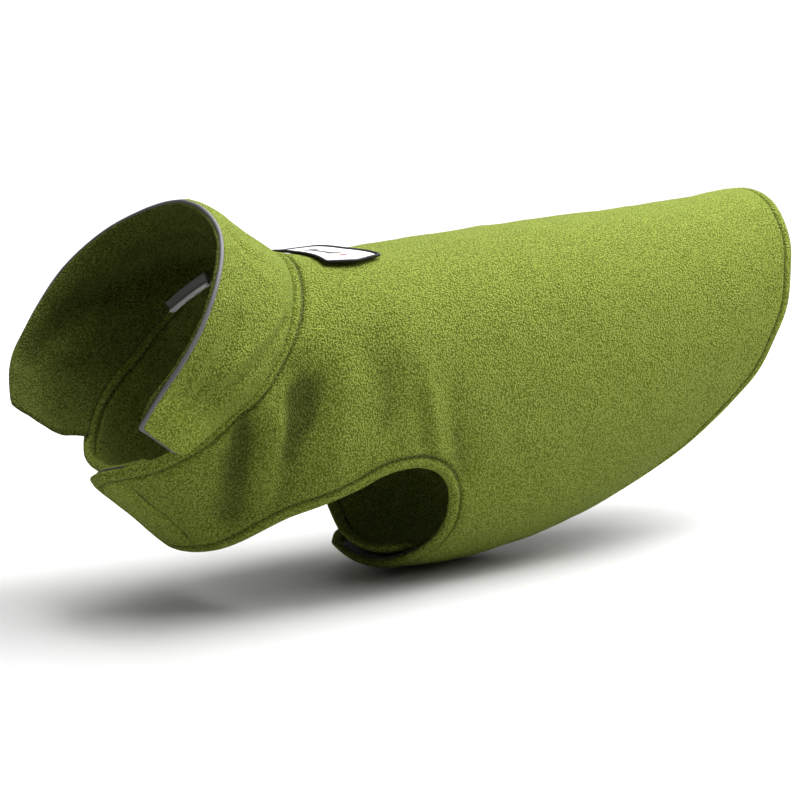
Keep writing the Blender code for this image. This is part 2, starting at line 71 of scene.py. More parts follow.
MM = 0.001
WELD_STEP = 1e-6            # points closer than this are one
SECTION_STEP, ANGLE_STEP = 0.02, 0.5    # small steps for the cloth's normals
EDGE_STEP = 0.1             # step in sections that finds which way an edge faces

# ---- torso sections: outer face of the cloth, millimetres ----
SECTION_COLUMNS = ("section", "top_x", "top_z", "bottom_x", "bottom_z",
                   "half_width", "widest_at", "square_above", "square_below")
SECTIONS = (
    (0, -54, 6.0, -159, -101, 60, 0.54, 1.9, 1.9),
    (1, -38, 3.5, -133, -121.5, 63, 0.49, 2.3, 2.0),
    (2, -22, 2.5, -105, -144, 67, 0.48, 2.6, 2.1),
    (3, 0, 3.0, -63, -160, 70, 0.49, 2.7, 2.15),
    (4, 20, 4.0, -17, -161, 71, 0.525, 2.6, 2.1),
    (5, 42, 6.0, 30, -168.3, 71, 0.52, 2.5, 2.1),
    (6, 80, 8.5, 80, -167.8, 70, 0.52, 2.4, 2.15),
    (7, 144, 12.0, 145, -158.5, 68, 0.51, 2.3, 2.15),
    (8, 210, 15.0, 210, -143, 64, 0.50, 2.2, 2.1),
    (9, 265, 18.4, 264, -125, 60, 0.48, 2.1, 2.1),
    (10, 310, 21.8, 308, -111, 55, 0.47, 2.1, 2.1),
    (11, 350, 16.0, 348, -100, 50, 0.47, 2.1, 2.1),
)

# ---- cut lines of one half of the body panel: (section, angle) in order along the edge ----
NECK_START = ((0.0, 0), (0.0, 30), (0.15, 60), (0.22, 85), (0.12, 110))
NECK_LINE = {
    -1: (*NECK_START, (0.06, 122), (-0.05, 131), (-0.12, 140), (-0.2, 150.5), (-0.24, 160),
         (-0.23, 169), (-0.16, 176), (-0.07, 182.6), (0.2, 214)),
    1: (*NECK_START, (0.1, 135), (0.06, 160), (-0.04, 178), (-0.12, 200), (-0.12, 214)),
}
BAND_LOWER_LINE = ((3.9, 104.6), (3.66, 104.95), (3.45, 105.9), (3.26, 107.7), (3.0, 112.4),
                   (2.82, 115.8), (2.55, 121.9), (2.26, 130.5), (2.08, 139), (1.93, 157),
                   (1.86, 171), (1.83, 186), (1.78, 206), (1.76, 214))
STRAP_FRONT_LINE = ((3.9, 104.6), (4.2, 105.95), (4.44, 109.3), (4.58, 113.1), (4.65, 117),
                    (4.71, 123.7), (4.735, 130), (4.72, 136.7), (4.7, 143.5), (4.62, 160),
                    (4.6, 180), (4.62, 214))
HEM_LINE = ((10.1, 0), (9.99, 26), (9.88, 42), (9.78, 58), (9.63, 73), (9.5, 89), (9.26, 101),
            (9.0, 115), (8.7, 122.5), (8.4, 130.5), (8.1, 139), (7.75, 147), (7.35, 154),
            (6.95, 161), (6.5, 169), (6.15, 180), (5.95, 195), (5.85, 214))
NECK_SPLIT_ANGLE = 100      # where the line down to the leg notch leaves the neck edge
HEM_SPLIT_ANGLE = 139       # where the side hem becomes the strap's rear edge
CROSS_SECTION = 4.55        # where the line across from the leg notches meets the back
REAR_LINE_BULGE = (5.6, 110)    # where the line from the leg notch to the hem passes
BAND_END = {-1: ((-0.07, 182.6), (0.12, 187.4), (0.5, 189.8), (1.1, 189.3), (1.83, 186)),
            1: ((0.0, 210), (1.0, 208), (1.78, 206))}
STRAP_FRONT_SHIFT = {-1: 0.0, 1: 0.03}  # sections that the far strap's front edge lies further back
STRAP_SHIFTED_FROM = 128    # wholly so beyond this angle
STRAP_END_ANGLE = {-1: 211, 1: 205}
STRAP_END_ROUND = ((0.0, -9), (0.13, -2.5), (0.5, 0), (0.87, -2.5), (1.0, -9))
BAND_TO_STRAP_SECTION = 3.9
LAYER_SHIFT = 0.0040        # outer band and strap stand this far out, the inner ones this far in
OUTER_BAND_LIFT, INNER_BAND_SINK = (112, 146), (144, 171)     # degrees over which they do so
STRAP_SHIFT_ANGLES, STRAP_SHIFT_SECTIONS = (106, 138), (6, 8)

# ---- collar: (angle on the neck edge, then where the rim stands, millimetres) ----
COLLAR_COLUMNS = ("angle", "rim_x", "rim_y", "rim_z")
COLLAR_RIM = (
    (0, -105.4, 0.0, 35.5),
    (15, -106.8, 15.6, 33.7),
    (30, -110.7, 32.5, 29.5),
    (45, -116.8, 48.7, 22.5),
    (60, -125.8, 62.2, 11.4),
    (75, -136.8, 71.8, -3.2),
    (90, -148.5, 75.8, -20.8),
    (105, -159.1, 74.6, -36.7),
    (120, -168.3, 68.2, -52.8),
    (133, -171.8, 58.5, -67.4),
    (138, -172.2, 54.2, -72.6),
)
COLLAR_END = {              # (height, angle) of each front end
    -1: ((0.0, 130.6), (0.2, 130.1), (0.4, 130.6), (0.6, 131.7), (0.8, 132.7), (1.0, 133.2)),
    1: ((0.0, 132.5), (0.2, 133.6), (0.4, 136.4), (0.6, 138.4), (0.8, 138.2), (0.9, 137),
        (1.0, 134.5)),
}
COLLAR_BULGE_BACK = ((0.0, 0.0), (0.3, 0.6), (0.6, 1.5), (0.8, 2.1), (0.92, 1.7), (1.0, 0.3))
COLLAR_BULGE_SIDE = ((0.0, 0.0), (0.12, 2.6), (0.3, 4.2), (0.5, 2.6), (0.7, 0.2), (0.85, -0.8),
                     (1.0, -0.4))      # (share of the height, millimetres out)
COLLAR_BACK_TO, COLLAR_SIDE_FROM = 8, 45       # degrees over which one turns into the other
COLLAR_FAR_SHORTER = 0.045  # share of its height by which the far side is lower
COLLAR_HEIGHT = 0.058       # sets how many steps the mesh takes up the collar
PIPING_FROM_FACE = 0.0014   # piping axis, in from the collar's outer face
PIPING_START = 0.04         # share of the collar's height where the piping begins
PIPING_CORNER = 0.05        # share of the height over which an edge's direction is found
PIPING_TAPER = ((-30, 1.0), (60, 0.72))     # (angle, share of the radius): drawn thinner
PIPING_SEWN_IN = 0.0003     # how deep the cord sits in the collar's edge
CORNER_DEGREES = 1.5        # degrees of the neck edge over which it is found
CORNER_SHARE = 0.75         # how far out into the corner the cord runs

# the collar wall where it turns over at its rim: (share of the turn, depth, rise) millimetres;
# the flat one stops under the piping, the full one rolls up behind it
TURN_WIDTH = 6.0
NOSE_WIDTH, TUCK_WIDTH = 1.8, 2.0       # roundings at the turned edge and at the seam
EDGE_BLEND = 2e-3           # rim and front end share a corner over about this distance, metres
SEAM_SINK, SEAM_SINK_WIDTH = 1.8, 6.0   # the collar's lower edge is sewn in this deep
TURN_FLAT = ((0.0, 1.4, 0.2), (0.06, 1.9, 0.6), (0.14, 2.5, 0.6), (0.24, 3.0, 0.1),
             (0.40, 3.5, -1.4), (0.7, 3.85, -3.8), (1.0, 4.0, -6.0))
TURN_FULL = ((0.0, 1.4, 0.3), (0.08, 2.3, 1.2), (0.16, 2.8, 2.9), (0.26, 3.5, 4.3),
             (0.38, 4.5, 4.8), (0.5, 5.3, 3.9), (0.63, 5.5, 1.9), (0.78, 5.0, -1.2),
             (1.0, 4.0, -6.0))
TURN_FULL_SHARE = ((-133, 1.0), (-124, 0.9), (-112, 0.45), (-95, 0.4), (-60, 0.5), (0, 0.35),
                   (30, 0.1), (82, 0.1), (98, 0.3), (110, 0.6), (122, 0.9),
                   (133, 1.0))      # (angle, how full the turn is)
CORNER_FULLER = {-1: -0.45, 1: 0.3}     # how much further the turn stands out at the corners
TURN_FULL_END = {-1: 0.15, 1: 1.0}      # how full it is at each front end

# ---- patch, label and tapes ----
PATCH_CENTRE_X = -0.018
PATCH_HALF_ACROSS = 0.028   # to the corners, at the middle of the border
PATCH_POINT = 0.004         # how far each pointed side runs past the corners
PATCH_HALF_ALONG = 0.0172
PATCH_IN_BORDER = 0.0006    # how far inside the border's middle the woven cloth ends
PATCH_PLAN = 0.1            # metres across the plan that the motif is drawn on
CLOSE = 0.0003              # gap under sewn-on pieces
PATCH_STIFF = 0.0017        # how far the stiff patch stands off the rounded back at its corners
BACK_SAMPLES = 241          # along the back, to find the section at a place
BONE_HALF = (0.0021, 0.0094)    # half width and half length of the motif's bar
KNUCKLE, DOT = (0.0024, 0.0098, 0.0029), (0.0185, 0.0024)       # places, then the radius
MOTIF_SOFT = 0.0002         # softness of the motif's edges
LABEL_ANGLES = (37.5, 60.5)
LABEL_UP = 0.06             # share of the collar's height at which it is caught
LABEL_LOOP = ((0.04, -0.6), (0.45, -1.0), (0.85, -1.3), (1.0, -0.8), (1.03, 0.5), (1.0, 1.4),
              (0.9, 1.9), (0.78, 1.7), (0.70, 1.0), (0.58, 0.4), (0.25, 0.3), (0.04, 0.3))
LABEL_FOLD_FROM, LABEL_FOLD_SOFT = 0.80, 0.03   # share of the depth below which the fold keeps its white; nearer the seam painted shade darkens it
TAPE_COLUMNS = ("piece", "side", "block", "from_row", "to_row", "from_column", "to_column")
TAPES = (                   # rows and columns as shares of the band or the strap
    ("chest_hook_tape", -1, "band", -0.012, 0.955, 0.770, 0.975),
    ("chest_loop_tape", 1, "band", 0.067, 0.933, 0.692, 0.965),
    ("belly_hook_tape", -1, "strap", -0.020, 0.895, 0.615, 0.955),
    ("belly_loop_tape", 1, "strap", 0.105, 0.895, 0.615, 0.930),
)
BLOCK_CROWD = 1.3           # those shares run faster toward the end by this power
TAPE_CLEAR = 0.0001         # gap between a tape and its band

# ---- folds: a soft ridge (+) or trough (-) along a line, bowed sideways ----
FOLD_COLUMNS = ("side", "from_section", "from_angle", "to_section", "to_angle",
                "half_width_mm", "height_mm", "bow_mm")
FOLDS = (
    (-1, 3.1, 68, 3.9, 88, 10, 1.4, 0),
    (-1, 2.2, 72, 3.0, 90, 10, -1.9, 0),
    (-1, 4.3, 84, 4.75, 104, 10, -1.6, 0),
    (-1, 0.7, 80, 1.5, 96, 11, -2.8, 0),
    (-1, 1.4, 92, 2.0, 126, 12, -2.8, 0),
    (-1, 0.6, 112, 1.5, 140, 14, -3.8, 0),
    (-1, 1.05, 104, 1.7, 128, 7, 1.6, 0),
    (-1, 2.0, 84, 2.45, 110, 9, 1.8, 0),
    (1, 2.7, 58, 3.6, 84, 13, 2.2, 0),
    (1, 2.1, 64, 2.9, 92, 13, -2.6, 0),
    (1, 4.2, 70, 4.7, 96, 12, -2.0, 0),
    (1, 0.8, 92, 1.4, 128, 15, -2.4, 0),
)
CREASES = (                 # finer ones that only the dressed cloth has
    (-1, 3.62, 82, 4.15, 97, 4.5, 1.3, 1.0),
    (-1, 3.48, 86, 3.95, 98, 4.0, -1.4, 1.0),
    (-1, 4.5, 94, 4.77, 110, 4.5, -1.2, -1.0),
    (-1, 2.72, 79, 3.0, 88, 5.0, -0.9, 1.0),
    (-1, 0.35, 104, 1.1, 128, 5.0, -1.5, 1.0),
    (-1, 1.0, 91, 1.6, 111, 5.0, -1.4, 1.0),
    (-1, 0.5, 98, 0.75, 106, 4.0, 1.3, 0.0),
    (-1, 0.2, 110, 0.5, 120, 4.0, 1.2, 0.0),
    (-1, 5.2, 72, 5.5, 100, 8.0, -0.5, 3.0),
    (-1, 9.1, 78, 8.6, 104, 6.0, -0.8, 0.0),
    (-1, 8.8, 76, 8.3, 102, 6.0, 0.7, 0.0),
    (-1, 8.5, 86, 8.0, 112, 7.0, -0.7, 1.0),
    (1, 3.2, 64, 3.8, 86, 4.5, 1.2, -2.0),
    (1, 2.8, 74, 3.3, 94, 4.0, -1.2, 1.5),
    (1, 4.45, 80, 4.7, 102, 4.0, -1.1, 2.0),
    (1, 1.0, 98, 1.3, 122, 5.0, -1.0, -2.0),
    (1, 0.5, 64, 0.95, 90, 4.5, -0.8, -1.5),
)
MM_PER_SECTION = 36         # near the neck, where the folds are
MM_PER_DEGREE = 1.25
COLLAR_FOLDS = (            # the same columns, with heights in place of sections
    (1, 0.02, 30, 0.54, 70, 8.0, 5.2, 0),
    (1, 0.65, 79, 0.86, 112, 8.0, 4.8, 0),
    (1, 0.74, 36, 0.92, 80, 8.0, -2.4, 0),
    (1, 0.50, 22, 0.64, 50, 5.0, 3.0, 0),
    (1, 0.20, 66, 0.46, 100, 9.0, -2.0, 0),
    (1, 0.10, 98, 0.60, 112, 7.0, 1.2, 0),
    (-1, 0.05, 127, 0.85, 129, 10.0, 2.6, 0),
    (-1, 0.30, 112, 0.70, 116, 8.0, -1.0, 0),
    (-1, 0.10, 63, 0.45, 108, 3.8, -2.0, 0),
    (-1, 0.22, 66, 0.60, 102, 3.6, 1.5, 0),
    (-1, 0.86, 70, 0.74, 122, 3.4, 1.3, 0),
    (-1, 0.66, 78, 0.60, 110, 3.8, -1.4, 0),
    (-1, 0.60, 46, 0.86, 36, 3.6, -1.6, 0),
    (-1, 0.50, 54, 0.90, 46, 4.0, 1.0, 0),
    (-1, 0.10, 28, 0.60, 30, 7.0, -0.8, 0),
)
MM_PER_HEIGHT, MM_PER_COLLAR_DEGREE = 56, 1.4
UNEVEN = ((0.034, 0.00018), (0.013, 0.00007))      # (wavelength, height) of the cloth's waver
UNEVEN_WAVES = 14
UNEVEN_SEED = 7

# ---- turned and topstitched edges, millimetres from the edge ----
OVERHANG, OVERHANG_WIDTH = 1.2, 4.5     # the turned edge swells past the cut line
ROLL_AT, ROLL_WIDTH, ROLL_HEIGHT = 2.9, 1.6, 0.60
GROOVE_AT, GROOVE_WIDTH, GROOVE_DEPTH = 5.5, 1.0, 1.45
THREAD_UP = 0.25            # how far above the groove's bottom the thread's middle lies
PUFF_AT, PUFF_WIDTH, PUFF_HEIGHT = 8.0, 1.8, 0.45
UNDER_COLLAR, NECK_TO = 128, 1.0        # the neck edge up to this angle lies under the collar
TURN_SMOOTHING = 12
EDGE_DISTANCES = (0.0, 0.12, 0.4, 0.85, 1.4, 2.1, 2.9, 3.8, 4.5, 5.0, 5.5, 6.0, 6.6, 7.6, 9.0)
TAPE_SEAMS = (              # (side, then the seam's (section, angle) points)
    (-1, ((0.2, 161), (1.0, 162.5), (1.85, 165))),
    (1, ((0.2, 156), (1.0, 158), (1.88, 160))),
    (-1, ((4.72, 160), (5.3, 160), (6.2, 160))),
    (1, ((4.78, 158), (5.3, 158), (6.2, 158))),
)
BAND_TAPE_SEAMS = 2         # the first ones are on the chest bands
TAPE_FAR = 9.0              # distances from these seams are kept up to this
CREASE_DEPTH, CREASE_WIDTH, CREASE_FROM = 0.9, 1.0, 1.5    # along the seams, past the groove
RELIEF_FROM = 6.0           # the finer relief is full this far from the cut edge
COLLAR_FOLDS_FROM, COLLAR_FOLDS_FADE = (0.0, 0.12), (0.75, 1.0)    # shares of the height
COLLAR_FOLDS_LOST = 0.6     # share of the folds that the rim's stiffness takes away
HOLLOW = (0.2, 5.5)         # depth of a trough over which painted shade darkens its nap
INSIDE_SHADE = {"body": 0.48, "collar": 0.82}   # painted shade: the inner layer's colour is that much darker
PAINTED_LIGHT_TO = (6.0, 45.0)    # painted light: the nap is paler near the collar's near front end, out to these millimetres

# ---- mesh steps ----
CLOTH_STEP = 0.0027
COLLAR_STEP = 0.0020
REAR_SHARE = 0.8            # mean depth of the rear blocks as a share of the centre line's
CURVE_SAMPLES = 40          # for each point of a cut line
THREAD_STEP = 2e-4          # step that finds which way a stitch lies
STITCH_RINGS, STITCH_SIDES = 5, 6
SEARCH_ROWS = 4000          # vertices that are measured against an outline at once


def column(table, position, at):
    """Cubic through one column of a table: each span joins its two rows' values with slopes
    that are the step-weighted means of the chords on both sides."""
    rows = np.array(table, float)
    x, y = rows[:, 0], rows[:, position]
    step = np.diff(x)
    slope = np.diff(y) / step
    tangent = np.empty_like(y)
    tangent[0], tangent[-1] = slope[0], slope[-1]
    tangent[1:-1] = (step[1:] * slope[:-1] + step[:-1] * slope[1:]) / (step[1:] + step[:-1])
    at = np.asarray(at, float)
    i = np.clip(np.searchsorted(x, at, side="right") - 1, 0, len(step) - 1)
    t = (at - x[i]) / step[i]
    return ((2 * t ** 3 - 3 * t ** 2 + 1) * y[i] + (t ** 3 - 2 * t ** 2 + t) * step[i] * tangent[i]
            + (3 * t ** 2 - 2 * t ** 3) * y[i + 1] + (t ** 3 - t ** 2) * step[i] * tangent[i + 1])


def columns(table, names, at):
    """All columns of a table after the first, by name, each interpolated at `at`."""
    return {name: column(table, i, at) for i, name in enumerate(names) if i}


def unit(vectors):
    """Vectors scaled to length 1."""
    return vectors / np.maximum(np.linalg.norm(vectors, axis=-1, keepdims=True), 1e-12)


def run_length(points):
    """Length along a path up to each of its points."""
    return np.concatenate([[0], np.cumsum(np.linalg.norm(np.diff(points, axis=0), axis=1))])


def read_off(rows, length, at):
    """Rows given at lengths along a path, interpolated at other lengths."""
    return np.stack([np.interp(at, length, values) for values in rows.T], -1)


def averaged(rows, rounds, closed=False):
    """Rows along a line, each blended 1:2:1 with its neighbours again and again."""
    for _ in range(rounds):
        blend = (np.roll(rows, 1, 0) + 2 * rows + np.roll(rows, -1, 0)) / 4
        if not closed:
            blend[0], blend[-1] = rows[0], rows[-1]
        rows = blend
    return rows


def smooth_step(x, low, high):
    """0 below `low`, 1 above `high`, and 3t^2 - 2t^3 between them."""
    t = np.clip((np.asarray(x, float) - low) / (high - low), 0, 1)
    return t * t * (3 - 2 * t)


def quarter_round(x, least=0.0):
    """Quarter circle: 0 at x = 0, upright there, level and 1 from x = 1 on."""
    return np.sqrt(np.clip(1 - (1 - np.clip(x, 0, 1)) ** 2, least, 1))


def hump(x, centre, width):
    """Bell of height 1: e to the minus square of the distance from the centre over the width."""
    return np.exp(-((x - centre) / width) ** 2)


def torso(section, angle):
    """Superellipse sections on tilted planes: across is the half width times the sine to the
    power 2/n, and down is one minus the cosine to the power 2/n, above and below the widest."""
    section, angle = np.broadcast_arrays(np.asarray(section, float), np.asarray(angle, float))
    ring = columns(SECTIONS, SECTION_COLUMNS, section)
    cos, sin = np.cos(np.radians(angle)), np.sin(np.radians(angle))
    power = 2 / np.where(cos >= 0, ring["square_above"], ring["square_below"])
    down = np.abs(cos) ** power
    across = np.sign(sin) * np.abs(sin) ** power
    widest = ring["widest_at"]
    depth = np.where(cos >= 0, widest * (1 - down), widest + (1 - widest) * down)
    return MM * np.stack([ring["top_x"] + (ring["bottom_x"] - ring["top_x"]) * depth,
                          ring["half_width"] * across,
                          ring["top_z"] + (ring["bottom_z"] - ring["top_z"]) * depth], -1)


def fold_height(section, angle, table, per_section=MM_PER_SECTION, per_degree=MM_PER_DEGREE):
    """Sum of bells along short lines of the (section, angle) sheet, each line bowed sideways
    by a parabola and fading past its ends, metres."""
    total = np.zeros(np.broadcast(section, angle).shape)
    for row in table:
        fold = dict(zip(FOLD_COLUMNS, row))
        x = (section - fold["from_section"]) * per_section
        y = (fold["side"] * angle - fold["from_angle"]) * per_degree
        dx = (fold["to_section"] - fold["from_section"]) * per_section
        dy = (fold["to_angle"] - fold["from_angle"]) * per_degree
        length = np.hypot(dx, dy)
        along = (x * dx + y * dy) / length
        share = np.clip(along / length, 0, 1)
        away = (x * dy - y * dx) / length - fold["bow_mm"] * 4 * share * (1 - share)
        past_end = np.maximum(np.maximum(-along, along - length), 0) / fold["half_width_mm"]
        total = total + fold["height_mm"] * MM * np.exp(
            -(away / fold["half_width_mm"]) ** 2 - past_end ** 2)
    return total


def waver(points):
    """Slight unevenness of soft cloth: plane waves of seeded directions and phases, summed."""
    random = np.random.default_rng(UNEVEN_SEED)
    total = np.zeros(points.shape[:-1])
    for wavelength, height in UNEVEN:
        directions = unit(random.normal(size=(UNEVEN_WAVES, 3)))
        numbers = directions * (2 * np.pi / (wavelength * random.uniform(0.7, 1.4, (UNEVEN_WAVES, 1))))
        phases = random.uniform(0, 2 * np.pi, UNEVEN_WAVES)
        waves = np.sin(np.einsum("...k,wk->...w", points, numbers) + phases)
        total += height * waves.sum(-1) / np.sqrt(UNEVEN_WAVES / 2)
    return total


def layer_lift(section, angle):
    """How far the overlapping bands and straps stand out (near side) or in (far side)."""
    side, turn = np.sign(angle), np.abs(angle)
    full_band = np.where(side < 0, smooth_step(turn, *OUTER_BAND_LIFT),
                         smooth_step(turn, *INNER_BAND_SINK))
    band = full_band * (section < BAND_TO_STRAP_SECTION)
    strap = (smooth_step(turn, *STRAP_SHIFT_ANGLES) * (section >= BAND_TO_STRAP_SECTION)
             * (1 - smooth_step(section, *STRAP_SHIFT_SECTIONS)))
    return -side * LAYER_SHIFT * (band + strap)


def cloth_ways(section, angle):
    """Rates of change of the torso's points with the section and with the angle."""
    along = torso(section + SECTION_STEP, angle) - torso(section - SECTION_STEP, angle)
    around = torso(section, angle + ANGLE_STEP) - torso(section, angle - ANGLE_STEP)
    return along / (2 * SECTION_STEP), around / (2 * ANGLE_STEP)


def cloth_normal(section, angle):
    """Unit vector square to the torso's surface, pointing out."""
    return unit(np.cross(*cloth_ways(section, angle)))


def cloth_point(section, angle, out=0.0):
    """Outer face of the cloth with its broad folds, moved `out` metres along its normal."""
    section, angle = np.broadcast_arrays(np.asarray(section, float), np.asarray(angle, float))
    height = layer_lift(section, angle) + fold_height(section, angle, FOLDS) + out
    return torso(section, angle) + cloth_normal(section, angle) * np.asarray(height)[..., None]


def path_at(points, shares):
    """Points at shares of the length of the smooth curve through (section, angle) rows."""
    points = np.array(points, float)
    rows = np.column_stack([run_length(torso(*points.T)), points])
    fine = np.linspace(0, rows[-1, 0], CURVE_SAMPLES * len(points))
    curve = np.stack([column(rows, 1, fine), column(rows, 2, fine)], -1)
    length = run_length(torso(*curve.T))
    return read_off(curve, length, shares * length[-1])


def path_between(points, low, high):
    """Part of a (section, angle) path up to angle `high`, from angle `low` or from its start."""
    points = np.array(points, float)
    rising = points[np.argmin(points[:, 1]):]
    end = (np.interp(high, rising[:, 1], rising[:, 0]), high)
    if low is None:
        return [*points[points[:, 1] < high], end]
    start = (np.interp(low, rising[:, 1], rising[:, 0]), low)
    return [start, *points[(points[:, 1] > low) & (points[:, 1] < high)], end]


def coons(top, bottom, left, right, u, v):
    """Coons surface between four edge paths: ruled both ways less the bilinear corners."""
    u, v = u[None, :, None], v[:, None, None]
    ruled = (1 - v) * top[None] + v * bottom[None] + (1 - u) * left[:, None] + u * right[:, None]
    corners = ((1 - v) * ((1 - u) * top[0] + u * top[-1])
               + v * ((1 - u) * bottom[0] + u * bottom[-1]))
    return ruled - corners


def shares_along(length, step, first=True, last=True):
    """Shares of a length: even steps, closer together at the ends that are cut edges."""
    near = np.array(EDGE_DISTANCES) * MM
    start = near if first else np.zeros(1)
    stop = length - (near[::-1] if last else np.zeros(1))
    count = max(2, int(round((stop[0] - start[-1]) / step)))
    middle = np.linspace(start[-1], stop[0], count + 1)[1:-1]
    return np.concatenate([start, middle, stop]) / length


def half_edges(side):
    """The (section, angle) paths that bound and divide one half of the panel, by name."""
    corner = BAND_LOWER_LINE[0]
    neck_split = path_between(NECK_LINE[side], None, NECK_SPLIT_ANGLE)[-1]
    hem_split = path_between(HEM_LINE, None, HEM_SPLIT_ANGLE)[-1]
    strap_end = STRAP_END_ANGLE[side]
    strap_in = strap_end + STRAP_END_ROUND[0][1]
    line = np.array(STRAP_FRONT_LINE, float)
    line[:, 0] += STRAP_FRONT_SHIFT[side] * smooth_step(line[:, 1], corner[1], STRAP_SHIFTED_FROM)
    strap_front = path_between(line, None, strap_in)
    strap_rear = path_between(HEM_LINE, HEM_SPLIT_ANGLE, strap_in)
    front, rear = strap_front[-1], strap_rear[-1]
    return {
        "neck": path_between(NECK_LINE[side], None, NECK_SPLIT_ANGLE),
        "centre_front": ((0, 0), (CROSS_SECTION, 0)),
        "cross": ((CROSS_SECTION, 0), ((CROSS_SECTION + corner[0]) / 2, corner[1] / 2), corner),
        "front_line": (neck_split, ((neck_split[0] + corner[0]) / 2, NECK_SPLIT_ANGLE), corner),
        "centre_rear": ((CROSS_SECTION, 0), HEM_LINE[0]),
        "rear_line": (corner, REAR_LINE_BULGE, hem_split),
        "hem": path_between(HEM_LINE, None, HEM_SPLIT_ANGLE),
        "band_top": path_between(NECK_LINE[side], NECK_SPLIT_ANGLE, BAND_END[side][0][1]),
        "band_bottom": path_between(BAND_LOWER_LINE, None, BAND_END[side][-1][1]),
        "band_end": BAND_END[side],
        "strap_front": strap_front,
        "strap_rear": strap_rear,
        "strap_end": [(front[0] + (rear[0] - front[0]) * t, strap_end + turn)
                      for t, turn in STRAP_END_ROUND],
    }


BLOCK_EDGES = {             # top, bottom, left and right side of each block's grid
    "saddle_front": ("neck", "cross", "centre_front", "front_line"),
    "saddle_rear": ("cross", "hem", "centre_rear", "rear_line"),
    "band": ("band_top", "band_bottom", "front_line", "band_end"),
    "strap": ("strap_front", "strap_rear", "rear_line", "strap_end"),
}
FREE_SIDES = {              # which sides of each block's grid are cut edges
    "saddle_front": ("first_row",),
    "saddle_rear": ("last_row",),
    "band": ("first_row", "last_row", "last_column"),
    "strap": ("first_row", "last_row", "last_column"),
}


def block(edges, name, u, v):
    """(section, angle) grid of one block at shares u along it and v across it."""
    top, bottom, left, right = (edges[edge] for edge in BLOCK_EDGES[name])
    return coons(path_at(top, u), path_at(bottom, u), path_at(left, v), path_at(right, v), u, v)


def half_panel(side, step):
    """(section, angle) grids of the saddle, the chest band and the belly strap of one side."""
    edges = half_edges(side)

    def length(name):
        return run_length(torso(*path_at(edges[name], np.linspace(0, 1, 60)).T))[-1]

    across, band, strap = (shares_along(length(name), step, first=False)
                           for name in ("cross", "band_top", "strap_front"))
    ahead = shares_along(length("front_line"), step)
    behind = shares_along(length("centre_rear") * REAR_SHARE, step)
    spans = {"saddle_front": (across, ahead), "saddle_rear": (across, behind),
             "band": (band, ahead), "strap": (strap, behind)}
    return {name: block(edges, name, *span) * np.array([1, side]) for name, span in spans.items()}


def zero_on(distance, names):
    """The distance with exact zeros along the named sides of its grid."""
    sides = {"first_row": np.s_[0], "last_row": np.s_[-1],
             "first_column": np.s_[:, 0], "last_column": np.s_[:, -1]}
    for name in names:
        distance[sides[name]] = 0.0
    return distance


def half_outline(side, count=260):
    """The cut edge of one half as one (section, angle) path, from the neck to the hem's centre."""
    edges = half_edges(side)
    order = (("neck", 1), ("band_top", 1), ("band_end", 1), ("band_bottom", -1),
             ("strap_front", 1), ("strap_end", 1), ("strap_rear", -1), ("hem", -1))
    shares = np.linspace(0, 1, count)
    parts = [path_at(edges[name], shares)[::way] for name, way in order]
    return np.concatenate(parts) * np.array([1, side])


def nearest_on(points, line):
    """Index of the line's point that is nearest to each point."""
    flat = points.reshape(-1, 3)
    square = (line ** 2).sum(1)
    nearest = np.concatenate([(square - 2 * flat[i:i + SEARCH_ROWS] @ line.T).argmin(1)
                              for i in range(0, len(flat), SEARCH_ROWS)])
    return nearest.reshape(points.shape[:-1])


def distance_to(points, line, nearest=None):
    """Shortest distance from each point to a line: its nearest point is found first, and then
    the foot on the two spans that meet there."""
    flat = points.reshape(-1, 3)
    nearest = (nearest_on(points, line) if nearest is None else nearest).ravel()
    best = np.full(len(flat), np.inf)
    for step in (-1, 1):
        start, end = line[nearest], line[np.clip(nearest + step, 0, len(line) - 1)]
        span = end - start
        share = ((flat - start) * span).sum(1) / np.maximum((span ** 2).sum(1), 1e-16)
        foot = start + span * np.clip(share, 0, 1)[:, None]
        best = np.minimum(best, np.linalg.norm(flat - foot, axis=1))
    return best.reshape(points.shape[:-1])


def edge_profile(distance, wall):
    """Half thickness of a turned edge: a round nose, a roll, a stitched groove and a puff."""
    d, nose = distance / MM, wall / 2 / MM
    relief = (ROLL_HEIGHT * hump(d, ROLL_AT, ROLL_WIDTH)
              - GROOVE_DEPTH * hump(d, GROOVE_AT, GROOVE_WIDTH)
              + PUFF_HEIGHT * hump(d, PUFF_AT, PUFF_WIDTH))
    return wall / 2 * quarter_round(d / nose) + relief * MM * smooth_step(d, 0, nose)


def tape_distance(section, angle, side):
    """Distance to the side's nearest closure tape seam, millimetres, plus where the tape is."""
    here = torso(section, np.abs(angle))
    best = np.full(section.shape, -TAPE_FAR)
    for index, (seam_side, points) in enumerate(TAPE_SEAMS):
        on_band = index < BAND_TAPE_SEAMS
        block = (section < BAND_TO_STRAP_SECTION) == on_band
        if seam_side != side or not block.any():
            continue
        path = path_at(points, np.linspace(0, 1, 120))
        away = distance_to(here, torso(*path.T)) / MM
        beyond = np.abs(angle) > np.interp(section, path[:, 0], path[:, 1])
        best = np.where(block, np.where(beyond, away, -away), best)
    return np.clip(best, -TAPE_FAR, TAPE_FAR)


def grid_faces(rows, columns, flip=False):
    """Quads of a rows x columns grid of points, outward when columns run with the angle."""
    i, j = np.meshgrid(np.arange(rows - 1), np.arange(columns - 1), indexing="ij")
    a = (i * columns + j).ravel()
    quads = np.stack([a, a + columns, a + columns + 1, a + 1], -1)
    return quads[:, ::-1] if flip else quads


